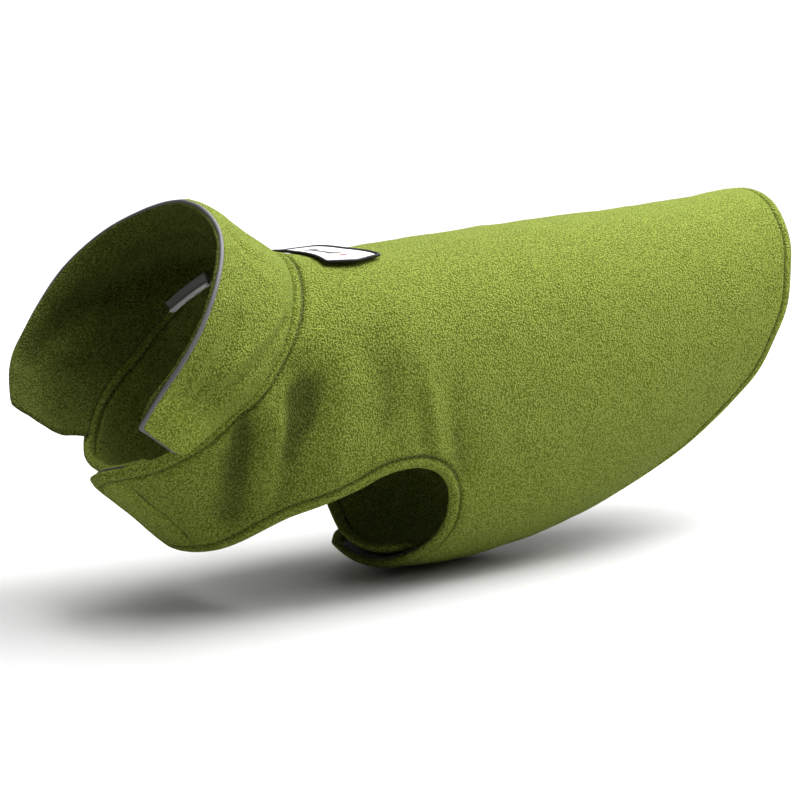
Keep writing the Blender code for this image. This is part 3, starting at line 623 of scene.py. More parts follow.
def weld(grids):
    """Points, faces and rows of values from grids that share their edges; a grid is its points,
    its faces and a list of its values."""
    points = np.concatenate([part[0].reshape(-1, 3) for part in grids])
    values = np.concatenate([np.reshape(part[2], (len(part[2]), -1)) for part in grids], 1)
    starts = np.cumsum([0] + [part[0].size // 3 for part in grids])
    faces = np.concatenate([part[1] + start for part, start in zip(grids, starts)])
    _, first, index = np.unique(np.round(points / WELD_STEP), axis=0, return_index=True,
                                return_inverse=True)
    faces = index.reshape(-1)[faces]
    flat = ((faces == np.roll(faces, 1, 1)).sum(1) > 1)
    return points[first], faces[~flat], values[:, first]


def neck_edge(angle):
    """Section number of the panel's neck edge at an angle."""
    near, far = (column(np.array(NECK_LINE[side], float)[:, ::-1], 1, np.abs(angle))
                 for side in (-1, 1))
    return np.where(np.asarray(angle) < 0, near, far)


def collar_frame(angle, height):
    """Where the collar's outer face is before it swells, and its normal: straight lines from
    the seam to the rim."""
    angle, height = np.broadcast_arrays(np.asarray(angle, float), np.asarray(height, float))

    def seam(at):
        return cloth_point(neck_edge(at), at)

    def rim(at):
        place = columns(COLLAR_RIM, COLLAR_COLUMNS, np.abs(at))
        full = MM * np.stack([place["rim_x"], place["rim_y"] * np.sign(at), place["rim_z"]], -1)
        lower = COLLAR_FAR_SHORTER * smooth_step(at, 0, COLLAR_SIDE_FROM)
        return full + (seam(at) - full) * lower[..., None]

    def ruled(at):
        return seam(at) + (rim(at) - seam(at)) * height[..., None]

    around = ruled(angle + ANGLE_STEP) - ruled(angle - ANGLE_STEP)
    return ruled(angle), unit(np.cross(around, rim(angle) - seam(angle)))


def collar_point(angle, height, out=0.0):
    """Outer face of the collar: height 0 at the neck seam, 1 at the rim."""
    angle, height = np.broadcast_arrays(np.asarray(angle, float), np.asarray(height, float))
    place, normal = collar_frame(angle, height)
    side = smooth_step(np.abs(angle), COLLAR_BACK_TO, COLLAR_SIDE_FROM)
    bulge = MM * (side * column(COLLAR_BULGE_SIDE, 1, height)
                  + (1 - side) * column(COLLAR_BULGE_BACK, 1, height))
    return place + normal * (bulge + out)[..., None]


def collar_end(side, height):
    """Angle of a front end at a height."""
    return side * column(COLLAR_END[side], 1, np.clip(height, 0, 1))


def collar_angles(shares, height):
    """Angles from the near front end (share -1) to the far one (share 1)."""
    return np.abs(shares) * np.where(shares < 0, collar_end(-1, height), collar_end(1, height))


def square_to(direction, edge):
    """Part of a direction that is square to an edge, as a unit vector."""
    edge = unit(edge)
    return unit(direction - edge * np.sum(direction * edge, -1, keepdims=True))


def above_rim(angle, out):
    """Direction in which the collar rises past its rim."""
    rise = collar_point(angle, 1.0, out) - collar_point(angle, 1 - PIPING_CORNER, out)
    along = (collar_point(angle + ANGLE_STEP, 1.0, out)
             - collar_point(angle - ANGLE_STEP, 1.0, out))
    return square_to(rise, along)


def before_end(side, height, out):
    """Direction in which the collar runs on past one of its front ends."""
    end, lower = collar_end(side, height), height - PIPING_CORNER
    ahead = collar_point(end, height, out) - collar_point(end - side * CORNER_DEGREES, height, out)
    along = collar_point(end, height, out) - collar_point(collar_end(side, lower), lower, out)
    return square_to(ahead, along)


def collar_surface(wall):
    """The two faces of the collar as grids of (share, height), turned over at rim and ends.

    A vertex at distance d from an edge follows a profile of (depth, rise) over the turn's
    width, where depth is measured in from the outer face and rise past the edge.
    """
    u = 2 * shares_along(collar_length(), COLLAR_STEP) - 1
    v = shares_along(COLLAR_HEIGHT, COLLAR_STEP)[:, None]
    angle = collar_angles(u[None], v)
    height = v + 0 * angle
    folds = fold_height(height, angle, COLLAR_FOLDS, MM_PER_HEIGHT, MM_PER_COLLAR_DEGREE)
    folds = (folds * smooth_step(height, *COLLAR_FOLDS_FROM)
             * (1 - COLLAR_FOLDS_LOST * smooth_step(height, *COLLAR_FOLDS_FADE)))
    outer = collar_point(angle, height, folds)
    _, normal = collar_frame(angle, height)

    face = collar_point(angle, height)
    gap_rim = zero_on(distance_to(face, face[-1]), ("last_row",))
    gap_seam = zero_on(distance_to(face, face[0]), ("first_row",))
    gap_end = zero_on(np.minimum(distance_to(face, face[:, 0]), distance_to(face, face[:, -1])),
                      ("first_column", "last_column"))

    side = np.where(u < 0, -1, 1)[None] + 0 * angle
    end_way = np.where(side[..., None] < 0, before_end(-1, height, 0.0), before_end(1, height, 0.0))
    near = 1 / (np.stack([gap_rim, gap_end]) + EDGE_BLEND) ** 2
    near = near / near.sum(0)
    corner = np.where(side < 0, CORNER_FULLER[-1], CORNER_FULLER[1])
    fuller = 1 + corner * 4 * near[0] * near[1]
    past = unit(near[0][..., None] * above_rim(angle, 0.0) + near[1][..., None] * end_way)

    gap = np.minimum(gap_rim, gap_end) / MM
    turn = np.clip(gap / TURN_WIDTH, 0, 1)
    full = (near[0] * np.interp(angle, *np.transpose(TURN_FULL_SHARE))
            + near[1] * np.where(side < 0, TURN_FULL_END[-1], TURN_FULL_END[1]))
    depth, rise = ((1 - full) * column(TURN_FLAT, k, turn) + full * column(TURN_FULL, k, turn)
                   for k in (1, 2))
    depth, rise = depth * wall / (4 * MM), rise + gap.clip(0, TURN_WIDTH)
    start = (1 - full) * TURN_FLAT[0][2] + full * TURN_FULL[0][2]

    front_depth = (1 - quarter_round(gap / NOSE_WIDTH)) * TURN_FLAT[0][1]
    front_rise = (1 - np.clip(gap / NOSE_WIDTH, 0, 1)) * start

    seam = gap_seam / MM
    tuck = quarter_round(seam / TUCK_WIDTH)
    half_depth, half_rise = (depth - front_depth) / 2, (rise - front_rise) / 2
    front_depth, depth = front_depth + half_depth * (1 - tuck), depth - half_depth * (1 - tuck)
    front_rise, rise = front_rise + half_rise * (1 - tuck), rise - half_rise * (1 - tuck)

    down = unit(collar_frame(angle, height - 0.02)[0] - collar_frame(angle, height)[0])
    sunk = SEAM_SINK * (1 - smooth_step(seam, 0.0, SEAM_SINK_WIDTH)) * MM

    def moved(in_mm, past_mm):
        return (outer + normal * (waver(outer) - in_mm * MM)[..., None]
                + past * (past_mm * fuller * MM)[..., None] + down * sunk[..., None])

    size, values = angle.shape, (seam + GROOVE_AT, 0 * seam - TAPE_FAR)
    # painted light toward the near front end; painted shade in troughs outside and over all of the
    # inner face
    painted_front_light = (1 - smooth_step(gap_end / MM, *PAINTED_LIGHT_TO)) * (side < 0)
    return weld([(moved(front_depth, front_rise), grid_faces(*size, flip=True),
                  (*values, painted_front_light - hollow(-folds))),
                 (moved(depth, rise), grid_faces(*size), (*values, -inside_shade(folds, "collar")))])


def hollow(depth):
    """0 on even cloth to 1 in a deep trough: how much painted shade it gets."""
    return smooth_step(depth / MM, *HOLLOW)


def inside_shade(height, part):
    """The same on the inner face, with painted shade over all of it."""
    return INSIDE_SHADE[part] + (1 - INSIDE_SHADE[part]) * hollow(height)


def collar_length():
    """Length of the collar's rim from one front end to the other."""
    return run_length(collar_point(collar_angles(np.linspace(-1, 1, 200), 1.0), 1.0))[-1]


def piping_path(radius, count):
    """Axis and radius of the piping: up the near front end, round the rim, down the far one."""
    heights = np.linspace(PIPING_START, 1 - PIPING_CORNER, 24)
    angles = collar_angles(np.linspace(-1, 1, 240), 1.0)
    angles[[0, -1]] += np.array([1, -1]) * CORNER_DEGREES
    out = -PIPING_FROM_FACE
    sizes = radius * np.interp(angles, *np.transpose(PIPING_TAPER))
    reach = (sizes - PIPING_SEWN_IN)[:, None]
    ends = []
    for side, size, inset in ((-1, sizes[0], reach[0]), (1, sizes[-1], reach[-1])):
        tip = collar_end(side, 1.0)
        edge = (collar_point(collar_end(side, heights), heights, out)
                + before_end(side, heights, out) * inset)
        corner = (collar_point(tip, 1.0, out)
                  + (above_rim(tip, out) + before_end(side, 1.0, out)) * inset * CORNER_SHARE)
        line = np.concatenate([edge, corner[None]])
        ends.append(np.column_stack([line, np.full(len(line), size)]))
    rim = collar_point(angles, 1.0, out) + above_rim(angles, out) * reach
    rim = np.column_stack([rim, sizes])
    return evenly(np.concatenate([ends[0], rim, ends[1][::-1]]), count, 3)


def evenly(path, count, smoothing=0):
    """A path resampled at even steps, each point then averaged with its neighbours."""
    length = run_length(path[:, :3])
    return averaged(read_off(path, length, np.linspace(0, length[-1], count)), smoothing)


def tube_surface(path, radius, sides, closed=False, ridge=None):
    """A circle carried along a path on frames that turn as little as they can; `ridge` gives
    the radius's factor from the length along the path and the angle round it."""
    ahead = np.roll(path, -1, 0) - np.roll(path, 1, 0)
    if not closed:
        ahead[0], ahead[-1] = path[1] - path[0], path[-1] - path[-2]
    ahead = unit(ahead)
    up = np.empty_like(ahead)
    up[0] = unit(np.cross(ahead[0], (0.3, 0.5, 0.8)))
    for i in range(1, len(path)):
        up[i] = unit(up[i - 1] - ahead[i] * (up[i - 1] @ ahead[i]))
    side = np.cross(ahead, up)
    length = run_length(path)
    turn = np.linspace(0, 2 * np.pi, sides, endpoint=False)
    radius = np.broadcast_to(radius, len(path))
    size = np.repeat(radius[:, None], sides, 1)
    if ridge is not None:
        size = size * ridge(length[:, None], turn[None])
    if not closed:      # round both ends off
        over = np.minimum(length, length[-1] - length) / radius
        size = size * quarter_round(over, 0.02)[:, None]
    cos, sin = np.cos(turn)[None, :, None], np.sin(turn)[None, :, None]
    points = path[:, None] + size[..., None] * (cos * up[:, None] + sin * side[:, None])
    rows = len(path)
    i = np.arange(rows if closed else rows - 1)[:, None]
    j = np.arange(sides)[None]
    a, b = i * sides + j, i * sides + (j + 1) % sides
    below = ((i + 1) % rows) * sides
    faces = np.stack([a, b, below + (j + 1) % sides, below + j], -1).reshape(-1, 4)
    if not closed:
        caps = [cap_faces(sides)[:, ::-1], cap_faces(sides) + (rows - 1) * sides]
        faces = np.concatenate([faces, *caps])
    return points.reshape(-1, 3), faces


def cap_faces(sides):
    """Quads that fill a ring with an even number of points."""
    k = np.arange(0, sides - 2, 2)
    return np.stack([0 * k, k + 1, k + 2, k + 3], -1) % sides


def rim_faces(rows, columns):
    """Quads that join the outer edges of two grids, the second one's points after the first's."""
    count = rows * columns
    loop = np.concatenate([np.arange(columns), np.arange(1, rows) * columns + columns - 1,
                           (rows - 1) * columns + np.arange(columns - 2, -1, -1),
                           np.arange(rows - 2, 0, -1) * columns])
    after = np.roll(loop, -1)
    return np.stack([loop, after, after + count, loop + count], -1)


def slab(top, under, turned=False):
    """Points and faces of a thin closed piece between two grids of one size."""
    size = top.shape[:2]
    points = np.concatenate([top.reshape(-1, 3), under.reshape(-1, 3)])
    faces = np.concatenate([grid_faces(*size), rim_faces(*size),
                            grid_faces(*size, flip=True) + size[0] * size[1]])
    return points, faces[:, ::-1] if turned else faces


def hexagon(across, along):
    """Outline of the patch from its centre as (x, y) with rounded corners."""
    point = across + PATCH_POINT
    corners = np.array([(-along, -across), (0, -point), (along, -across),
                        (along, across), (0, point), (-along, across), (-along, -across)])
    chord = run_length(corners)
    line = read_off(corners, chord, np.linspace(0, chord[-1], 361)[:-1])
    return averaged(line, 8, closed=True)


def back_point(x, y, out):
    """Point of the back at `x` along and `y` across it, moved out along the normal."""
    sections = np.linspace(SECTIONS[0][0], SECTIONS[-1][0], BACK_SAMPLES)
    tops = MM * columns(SECTIONS, SECTION_COLUMNS, sections)["top_x"]
    section = np.interp(x, tops, sections)
    ring = columns(SECTIONS, SECTION_COLUMNS, section)
    across = np.abs(y) / (MM * ring["half_width"])
    angle = np.degrees(np.arcsin(across ** (ring["square_above"] / 2))) * np.sign(y)
    return cloth_point(section, angle, out)


def patch_stand_off(y):
    """How far the stiff patch stands off the back: the square of the place across it."""
    return PATCH_STIFF * (y / PATCH_HALF_ACROSS) ** 2


def sheet_shift(section, angle, move):
    """Change of (section, angle) that moves a point of the cloth by a vector along it: the
    least-squares answer in the sheet's two tangents."""
    along, around = cloth_ways(section, angle)
    ss, aa, sa = ((p * q).sum(-1) for p, q in ((along, along), (around, around), (along, around)))
    ms, ma = (along * move).sum(-1), (around * move).sum(-1)
    det = ss * aa - sa ** 2
    return (aa * ms - sa * ma) / det, (ss * ma - sa * ms) / det


def edge_inward(side):
    """The cut edge's (section, angle) points, its points in space, and the way into the cloth
    at each: square to the edge and to the cloth's normal."""
    outline = half_outline(side)
    edge = cloth_point(outline[:, 0], outline[:, 1])
    keep = np.concatenate([[True], np.linalg.norm(np.diff(edge, axis=0), axis=1) > 1e-5])
    outline, edge = outline[keep], edge[keep]
    ahead = unit(np.gradient(edge, axis=0))
    inward = np.cross(cloth_normal(outline[:, 0], outline[:, 1]), ahead)
    rearward = torso(outline[0, 0] + EDGE_STEP, 0.0) - torso(outline[0, 0], 0.0)
    return outline, edge, unit(inward) * np.sign(inward[5] @ rearward)


def stitch_line(side, inset):
    """(section, angle) points of the topstitching: the cut edge moved inward by `inset`."""
    outline, edge, inward = edge_inward(side)
    inward = inward * inset
    flat_angle = outline[:, 1] + 1e-6 * side
    ds, da = sheet_shift(outline[:, 0], flat_angle, inward)
    moved = np.stack([outline[:, 0] + ds, flat_angle + da], -1)
    there = cloth_point(moved[:, 0], moved[:, 1])
    far = distance_to(there, edge) > inset * 0.94
    same_side = moved[:, 1] * side > 0
    return moved[far & same_side]


def stitches(place, normal_of, pitch, length, radius, depth):
    """Short capsules of thread laid along paths: rings of points whose radius follows a half
    ellipse, sunk at both ends by the square of the distance from the middle."""
    points, faces, start = [], [], 0
    along = np.linspace(-1, 1, STITCH_RINGS)[:, None, None]
    turn = np.linspace(0, 2 * np.pi, STITCH_SIDES, endpoint=False)[:, None]
    size = radius * np.sqrt(np.clip(1 - along ** 2, 0.04, 1))
    each = STITCH_RINGS * STITCH_SIDES
    for path, normal in zip(place, normal_of):
        total = run_length(path)
        at = (np.arange(int(total[-1] / pitch)) + 0.5) * pitch
        if len(at) < 2:
            continue
        centre, after, before, ahead = (read_off(path, total, at + step) for step in
                                        (0, THREAD_STEP, -THREAD_STEP, pitch / 2))
        whole = np.linalg.norm(ahead - centre, axis=1) >= pitch * 0.3
        centre, up, way = (rows[whole][:, None, None] for rows in
                           (centre, unit(read_off(normal, total, at)), unit(after - before)))
        rings = (centre + way * along * length / 2 + up * (size * np.sin(turn) - depth * along ** 2)
                 + np.cross(way, up) * size * np.cos(turn))
        i = np.arange(len(centre))[:, None, None] * each
        ring = np.arange(STITCH_RINGS - 1)[None, :, None] * STITCH_SIDES
        j = np.arange(STITCH_SIDES)[None, None]
        a, b = i + ring + j, i + ring + (j + 1) % STITCH_SIDES
        sides = np.stack([a, b, b + STITCH_SIDES, a + STITCH_SIDES], -1).reshape(-1, 4)
        cap = (cap_faces(STITCH_SIDES)[None] + i).reshape(-1, 4)
        points.append(rings.reshape(-1, 3))
        faces.append(np.concatenate([sides[:, ::-1], cap, cap[:, ::-1] + each - STITCH_SIDES])
                     + start)
        start += len(centre) * each
    return np.concatenate(points), np.concatenate(faces)


# ---- materials ----
CELL_SMOOTH = 0.25          # how softly neighbouring cells of nap run into each other


def times(factor, colour):
    """A colour made lighter or darker."""
    return tuple(factor * value for value in colour)


class Wire:
    """A node socket that takes part in Python arithmetic; each operation adds a Math node."""

    def __init__(self, look, socket):
        self.look, self.socket = look, socket

    def math(self, operation, *values):
        return self.look.node("ShaderNodeMath", {"operation": operation},
                              dict(enumerate((self, *values))))

    def __add__(self, other):
        return self.math("ADD", other)

    __radd__ = __add__

    def __mul__(self, other):
        return self.math("MULTIPLY", other)

    __rmul__ = __mul__

    def __sub__(self, other):
        return self.math("SUBTRACT", other)

    def __rsub__(self, other):
        return self.look.node("ShaderNodeMath", {"operation": "SUBTRACT"}, {0: other, 1: self})

    def __truediv__(self, other):
        return self.math("DIVIDE", other)

    def between(self, low, high):
        """0 to 1 as the value goes from low to high, smoothly."""
        return self.look.node("ShaderNodeMapRange", {"interpolation_type": "SMOOTHSTEP"},
                              {"Value": self, "From Min": low, "From Max": high})


class Look:
    """A material: a Principled shader, and one method that adds any other node."""

    def __init__(self, name, **uniform):
        self.material = bpy.data.materials.new(name)
        self.material.use_nodes = True
        self.tree = self.material.node_tree
        self.shader = self.tree.nodes["Principled BSDF"]
        for socket, value in uniform.items():
            self.shader.inputs[socket.replace("_", " ")].default_value = value

    def node(self, kind, settings=None, sockets=None, out=0):
        """Add a node: its settings first, then its sockets' values or links."""
        node = self.tree.nodes.new(kind)
        for key, value in (settings or {}).items():
            setattr(node, key, value)
        for key, value in (sockets or {}).items():
            if isinstance(value, Wire):
                self.tree.links.new(value.socket, node.inputs[key])
            else:
                node.inputs[key].default_value = value
        return Wire(self, node.outputs[out])

    def feed(self, **sockets):
        """Link wires to the shader's sockets and give the finished material."""
        for name, wire in sockets.items():
            self.tree.links.new(wire.socket, self.shader.inputs[name.replace("_", " ")])
        return self.material

    def place(self, stretch=(1, 1, 1)):
        """Object coordinates, stretched."""
        raw = self.node("ShaderNodeTexCoord", out="Object")
        return self.node("ShaderNodeVectorMath", {"operation": "MULTIPLY"}, {0: raw, 1: stretch})

    def noise(self, size, detail=2.0, roughness=0.55, vector=None, distortion=0.0):
        """Cloudy noise of a feature size in metres, 0 to 1."""
        return self.node("ShaderNodeTexNoise", None, {
            "Vector": vector or self.place(), "Scale": 1 / size, "Detail": detail,
            "Roughness": roughness, "Distortion": distortion})

    def cells(self, size, feature="SMOOTH_F1"):
        """Distance from the middle of scattered cells, in cell sizes."""
        sockets = {"Vector": self.place(), "Scale": 1 / size}
        if feature == "SMOOTH_F1":
            sockets["Smoothness"] = CELL_SMOOTH
        return self.node("ShaderNodeTexVoronoi", {"feature": feature}, sockets)

    def mix(self, a, b, share):
        """Blend of two colours."""
        def colour(value):
            return value if isinstance(value, Wire) else (*value, 1)
        return self.node("ShaderNodeMix", {"data_type": "RGBA"},
                         {0: share, 6: colour(a), 7: colour(b)}, out=2)

    def bump(self, height, depth, strength):
        """Normal of a surface raised by a height times a depth in metres."""
        return self.node("ShaderNodeBump", None,
                         {"Height": height, "Distance": depth, "Strength": strength})

    def attribute(self, name):
        """A value that the mesh carries at each of its points."""
        return self.node("ShaderNodeAttribute", {"attribute_name": name}, out="Fac")


def fleece_look(colours, sizes):
    """Pebbled nap: small domes of curled fibre with gaps darkened by painted shade, lighter tips
    and slow mottling; painted shade in grooves, creases, troughs and on the inner face, painted
    light near the collar's near front end; pressed flat and lighter where the tapes are sewn behind it."""
    look = Look("anti_pill_fleece", Roughness=0.92, Specular_IOR_Level=0.12, Sheen_Weight=0.14,
                Sheen_Roughness=0.5, Sheen_Tint=(*colours.fleece_tip, 1))
    edge, tape, shade = (look.attribute(name) for name in ("edge", "tape", "shade"))
    inside = edge.between(GROOVE_AT + 0.1, GROOVE_AT + 1.6)
    groove = 1 - (edge - GROOVE_AT).math("ABSOLUTE").between(0.1, 1.6)
    crease = (1 - tape.math("ABSOLUTE").between(0.15, 1.1)) * inside
    pressed = tape.between(0.5, 2.2) * inside
    pile = look.noise(sizes.nap * 0.8, 1.0, 0.5, distortion=0.25)
    dome = 1 - look.cells(sizes.nap) * 1.35
    fibre = look.noise(sizes.nap * 0.3, 2.0, 0.6)
    nap = dome * 0.85 + pile * 0.5 + fibre * 0.2
    mottle = look.noise(0.010, 3.0, 0.6)
    # painted shade: the gaps between the pebbles take the darker colour
    ground = look.mix(colours.fleece_deep, colours.fleece, nap.between(0.35, 0.95))
    tips = look.mix(ground, colours.fleece_tip, nap.between(0.75, 1.15) * 0.7)
    shaded = look.mix(tips, colours.fleece_deep, (1 - mottle.between(0.25, 0.7)) * 0.10)
    # painted light where the shade value is above 0, painted shade where it is below
    strength = 1 + shade.between(0.0, 1.0) * 0.35 - (shade * -1).between(0.0, 1.0) * 0.6
    toned = look.node("ShaderNodeVectorMath", {"operation": "SCALE"},
                      {0: shaded, "Scale": strength + pressed * 0.12})
    # painted shade in the stitched groove and in the creases along the tapes' seams
    painted_groove_shade = look.mix(toned, times(0.2, colours.fleece_deep), groove * 0.6 + crease * 0.5)
    bump = look.bump(nap * (1 - pressed * 0.2) - groove * 0.5 - crease * 0.6, sizes.nap_depth, 1.0)
    return look.feed(Base_Color=painted_groove_shade, Normal=bump)


def cord_look(colours):
    """Smooth grey piping of fine woven strip: slight ribs across and a soft gloss."""
    look = Look("grey_piping", Roughness=0.55, Specular_IOR_Level=0.4)
    grain = look.noise(0.0005, 2.0, 0.6)
    wear = look.noise(0.02, 2.0, 0.5)
    tone = look.mix(colours.piping, times(0.62, colours.piping),
                    grain.between(0.4, 0.8) * 0.35 + wear.between(0.5, 0.8) * 0.2)
    return look.feed(Base_Color=tone, Normal=look.bump(grain, 0.0001, 0.6))


def tape_look(name, colour, size, depth):
    """Hook or loop tape: a close field of tiny stems or of loops raised by brushing."""
    look = Look(name, Roughness=0.7, Specular_IOR_Level=0.35, Sheen_Weight=0.2)
    stems = 1 - look.cells(size, feature="F1") * 1.4
    fuzz = look.noise(size * 0.6, 3.0, 0.65)
    height = stems * 0.6 + fuzz * 0.6
    tone = look.mix(times(0.45, colour), times(2.2, colour),
                    height.between(0.3, 1.0))
    return look.feed(Base_Color=tone, Normal=look.bump(height, depth, 1.0))


def woven(along, across, pitch):
    """Twill: two thread directions crossing, a sine ridge on each shifted row by row."""
    warp = ((along / pitch + across / pitch * 0.5) * (2 * np.pi)).math("SINE") * 0.5 + 0.5
    weft = ((across / pitch) * (2 * np.pi)).math("SINE") * 0.5 + 0.5
    return warp * 0.6 + weft * 0.4


def patch_look(colours):
    """White twill with a plain motif in dark thread: a bone with a red dot on each side of it.
    The bone is a bar with two round knuckles at each end, found by distances in the plan."""
    look = Look("patch_twill", Roughness=0.62, Specular_IOR_Level=0.35, Sheen_Weight=0.1)
    plan = look.node("ShaderNodeUVMap", {"uv_map": "plan"})
    x, y = ((look.node("ShaderNodeSeparateXYZ", None, {0: plan}, out=axis) - 0.5) * PATCH_PLAN
            for axis in (0, 1))

    def within(away, reach):
        return 1 - away.between(reach - MOTIF_SOFT, reach + MOTIF_SOFT)

    def disc(cx, cy, radius):
        return within(((x - cx) * (x - cx) + (y - cy) * (y - cy)).math("SQRT"), radius)

    def either(a, b):
        return a.math("MAXIMUM", b)

    bone = (within(x.math("ABSOLUTE"), BONE_HALF[0]) * within(y.math("ABSOLUTE"), BONE_HALF[1]))
    for sx in (-1, 1):
        for sy in (-1, 1):
            bone = either(bone, disc(sx * KNUCKLE[0], sy * KNUCKLE[1], KNUCKLE[2]))
    dots = either(disc(0.0, DOT[0], DOT[1]), disc(0.0, -DOT[0], DOT[1]))
    weave = woven(x, y, 0.0006)
    ground = look.mix(times(0.72, colours.patch), colours.patch, weave)
    dark = look.mix(ground, colours.thread_dark, bone)
    inked = look.mix(dark, colours.accent, dots)
    height = weave * 0.4 + either(bone, dots) * (0.6 + weave * 0.4)
    return look.feed(Base_Color=inked, Normal=look.bump(height, 0.0002, 0.8))


def border_look(colours):
    """Overlocked thread: fine strands across the border with a slight satin gloss."""
    look = Look("border_thread", Roughness=0.6, Specular_IOR_Level=0.25)
    strand = look.noise(0.00025, 2.0, 0.6)
    tone = look.mix(colours.thread_dark, times(2.0, colours.thread_dark),
                    strand.between(0.4, 0.8) * 0.5)
    return look.feed(Base_Color=tone, Normal=look.bump(strand, 0.00008, 0.8))


def label_look(colours):
    """Satin ribbon: close weft ribs along the loop, darkened above by painted shade, bright at its
    fold.
    """
    look = Look("label_ribbon", Roughness=0.4, Specular_IOR_Level=0.5, Sheen_Weight=0.1)
    grain = look.noise(0.0004, 2.0, 0.6, vector=look.place((1.0, 3.0, 1.0)))
    slow = look.noise(0.008, 2.0, 0.5)
    tone = look.mix(times(0.8, colours.label), colours.label,
                    grain.between(0.3, 0.7) * 0.7 + slow * 0.3)
    # painted shade on the leaves away from the fold
    tone = look.mix(times(0.25, colours.label), tone, look.attribute("fold"))
    return look.feed(Base_Color=tone, Normal=look.bump(grain, 0.00006, 0.6))


def thread_look(colours):
    """Sewing thread in the fleece's colour, twisted."""
    look = Look("sewing_thread", Roughness=0.55, Specular_IOR_Level=0.4, Sheen_Weight=0.2)
    twist = look.noise(0.0003, 2.0, 0.6)
    tone = look.mix(times(0.55, colours.fleece), colours.fleece, twist)
    return look.feed(Base_Color=tone, Normal=look.bump(twist, 0.00006, 0.8))


def floor_look(colours):
    """Plain pale board with the least unevenness of tone."""
    look = Look("pale_floor", Roughness=0.6, Specular_IOR_Level=0.2)
    slow = look.noise(1.2, 1.0, 0.5)
    tone = look.mix(times(0.99, colours.floor), colours.floor, slow)
    return look.feed(Base_Color=tone)


# ---- building ----

def add_object(name, data):
    """Put a mesh, a lamp or a camera into the scene."""
    thing = bpy.data.objects.new(name, data)
    bpy.context.scene.collection.objects.link(thing)
    return thing


def mesh_object(name, points, faces, material, values=None, plan=None):
    """Mesh from arrays, smooth, with named values on its points and a plan as its UV map."""
    mesh = bpy.data.meshes.new(name)
    size = faces.shape[1]
    mesh.vertices.add(len(points))
    mesh.vertices.foreach_set("co", np.ascontiguousarray(points, np.float32).ravel())
    mesh.loops.add(faces.size)
    mesh.loops.foreach_set("vertex_index", np.ascontiguousarray(faces, np.int32).ravel())
    mesh.polygons.add(len(faces))
    mesh.polygons.foreach_set("loop_start", np.arange(0, faces.size, size, dtype=np.int32))
    mesh.update(calc_edges=True)
    mesh.shade_smooth()
    for key, data in (values or {}).items():
        layer = mesh.attributes.new(key, "FLOAT", "POINT")
        layer.data.foreach_set("value", np.ascontiguousarray(data, np.float32).ravel())
    if plan is not None:
        layer = mesh.uv_layers.new(name="plan")
        corners = np.ascontiguousarray(plan[faces.ravel()], np.float32)
        layer.uv.foreach_set("vector", corners.ravel())
    mesh.validate()
    mesh.materials.append(material)
    return add_object(name, mesh)


def fleece_object(name, points, faces, values):
    """Mesh of fleece with its distances from the cut edge and a tape's seam, and painted light and
    shade.
    """
    return mesh_object(name, points, faces, bpy.data.materials["anti_pill_fleece"],
                       dict(zip(("edge", "tape", "shade"), values)))


def dress(thing, slot, *nodes):
    """Ride on the coat and hide the frame's nodes that it stands for; the slot is not used."""
    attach(thing, "root")
    if nodes:
        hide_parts(*nodes)


def colour_property(name, description, default):
    """A colour that the panel shows, linear red, green and blue."""
    return bpy.props.FloatVectorProperty(name=name, description=description, default=default,
                                         subtype="COLOR", size=3, min=0.0, max=1.0)


def length_property(name, description, default):
    """A length in metres that the panel shows."""
    return bpy.props.FloatProperty(name=name, description=description, default=default,
                                   unit="LENGTH", min=0.0, precision=5)


class CoatSizes(bpy.types.PropertyGroup):
    """Sizes that a maker would change."""
    wall: length_property("Fleece wall", "Thickness of the two fleece layers together", 0.0040)
    nap: length_property("Nap", "Width of one pebble of the fleece's nap", 0.00100)
    nap_depth: length_property("Nap depth", "Depth of the gaps between the pebbles", 0.0012)
    piping: length_property("Piping radius", "Radius of the cord in the collar's edge", 0.0011)
    border: length_property("Border radius", "Radius of the patch's overlocked border", 0.0008)
    patch: length_property("Patch thickness", "Thickness of the woven patch", 0.0009)
    label: length_property("Label thickness", "Thickness of the ribbon of the label", 0.0006)
    label_depth: length_property("Label depth", "How far the label hangs from the seam", 0.0078)
    label_gap: length_property("Label gap", "Half the opening between its leaves", 0.0012)
    hook: length_property("Hook tape", "Thickness of the hook tapes", 0.0010)
    loop: length_property("Loop tape", "Thickness of the loop tapes", 0.0009)
    stitch: length_property("Stitch", "Length of one stitch that shows", 0.0024)
    stitch_pitch: length_property("Stitch pitch", "Length of a stitch and the gap after it", 0.0030)
    thread: length_property("Thread radius", "Radius of the sewing thread", 0.00022)


class CoatColours(bpy.types.PropertyGroup):
    """Colours that a maker would change."""
    fleece: colour_property("Fleece", "Main colour of the nap", (0.240, 0.306, 0.040))
    # also painted shade: pebble gaps, grooves and seam creases take this colour; it darkens the
    # mottling too
    fleece_deep: colour_property("Fleece gaps", "Colour between the pebbles", (0.108, 0.136, 0.014))
    fleece_tip: colour_property("Fleece tips", "Colour of the fibre tips", (0.38, 0.475, 0.125))
    piping: colour_property("Piping", "Grey of the collar's piping", (0.115, 0.112, 0.118))
    patch: colour_property("Patch", "Ground of the patch", (0.72, 0.72, 0.72))
    thread_dark: colour_property("Dark thread", "Border and motif of the patch", (0.009, 0.009, 0.010))
    accent: colour_property("Accent", "Small dots of the patch", (0.55, 0.02, 0.02))
    label: colour_property("Label", "Ribbon of the neck label", (0.92, 0.92, 0.92))
    tape: colour_property("Tape", "Hook and loop tapes", (0.0042, 0.0042, 0.0055))
    floor: colour_property("Floor", "Pale floor and backdrop", (0.55, 0.55, 0.55))


def settings():
    """The sizes and the colours that the panel shows."""
    return bpy.context.scene.coat_sizes, bpy.context.scene.coat_colours


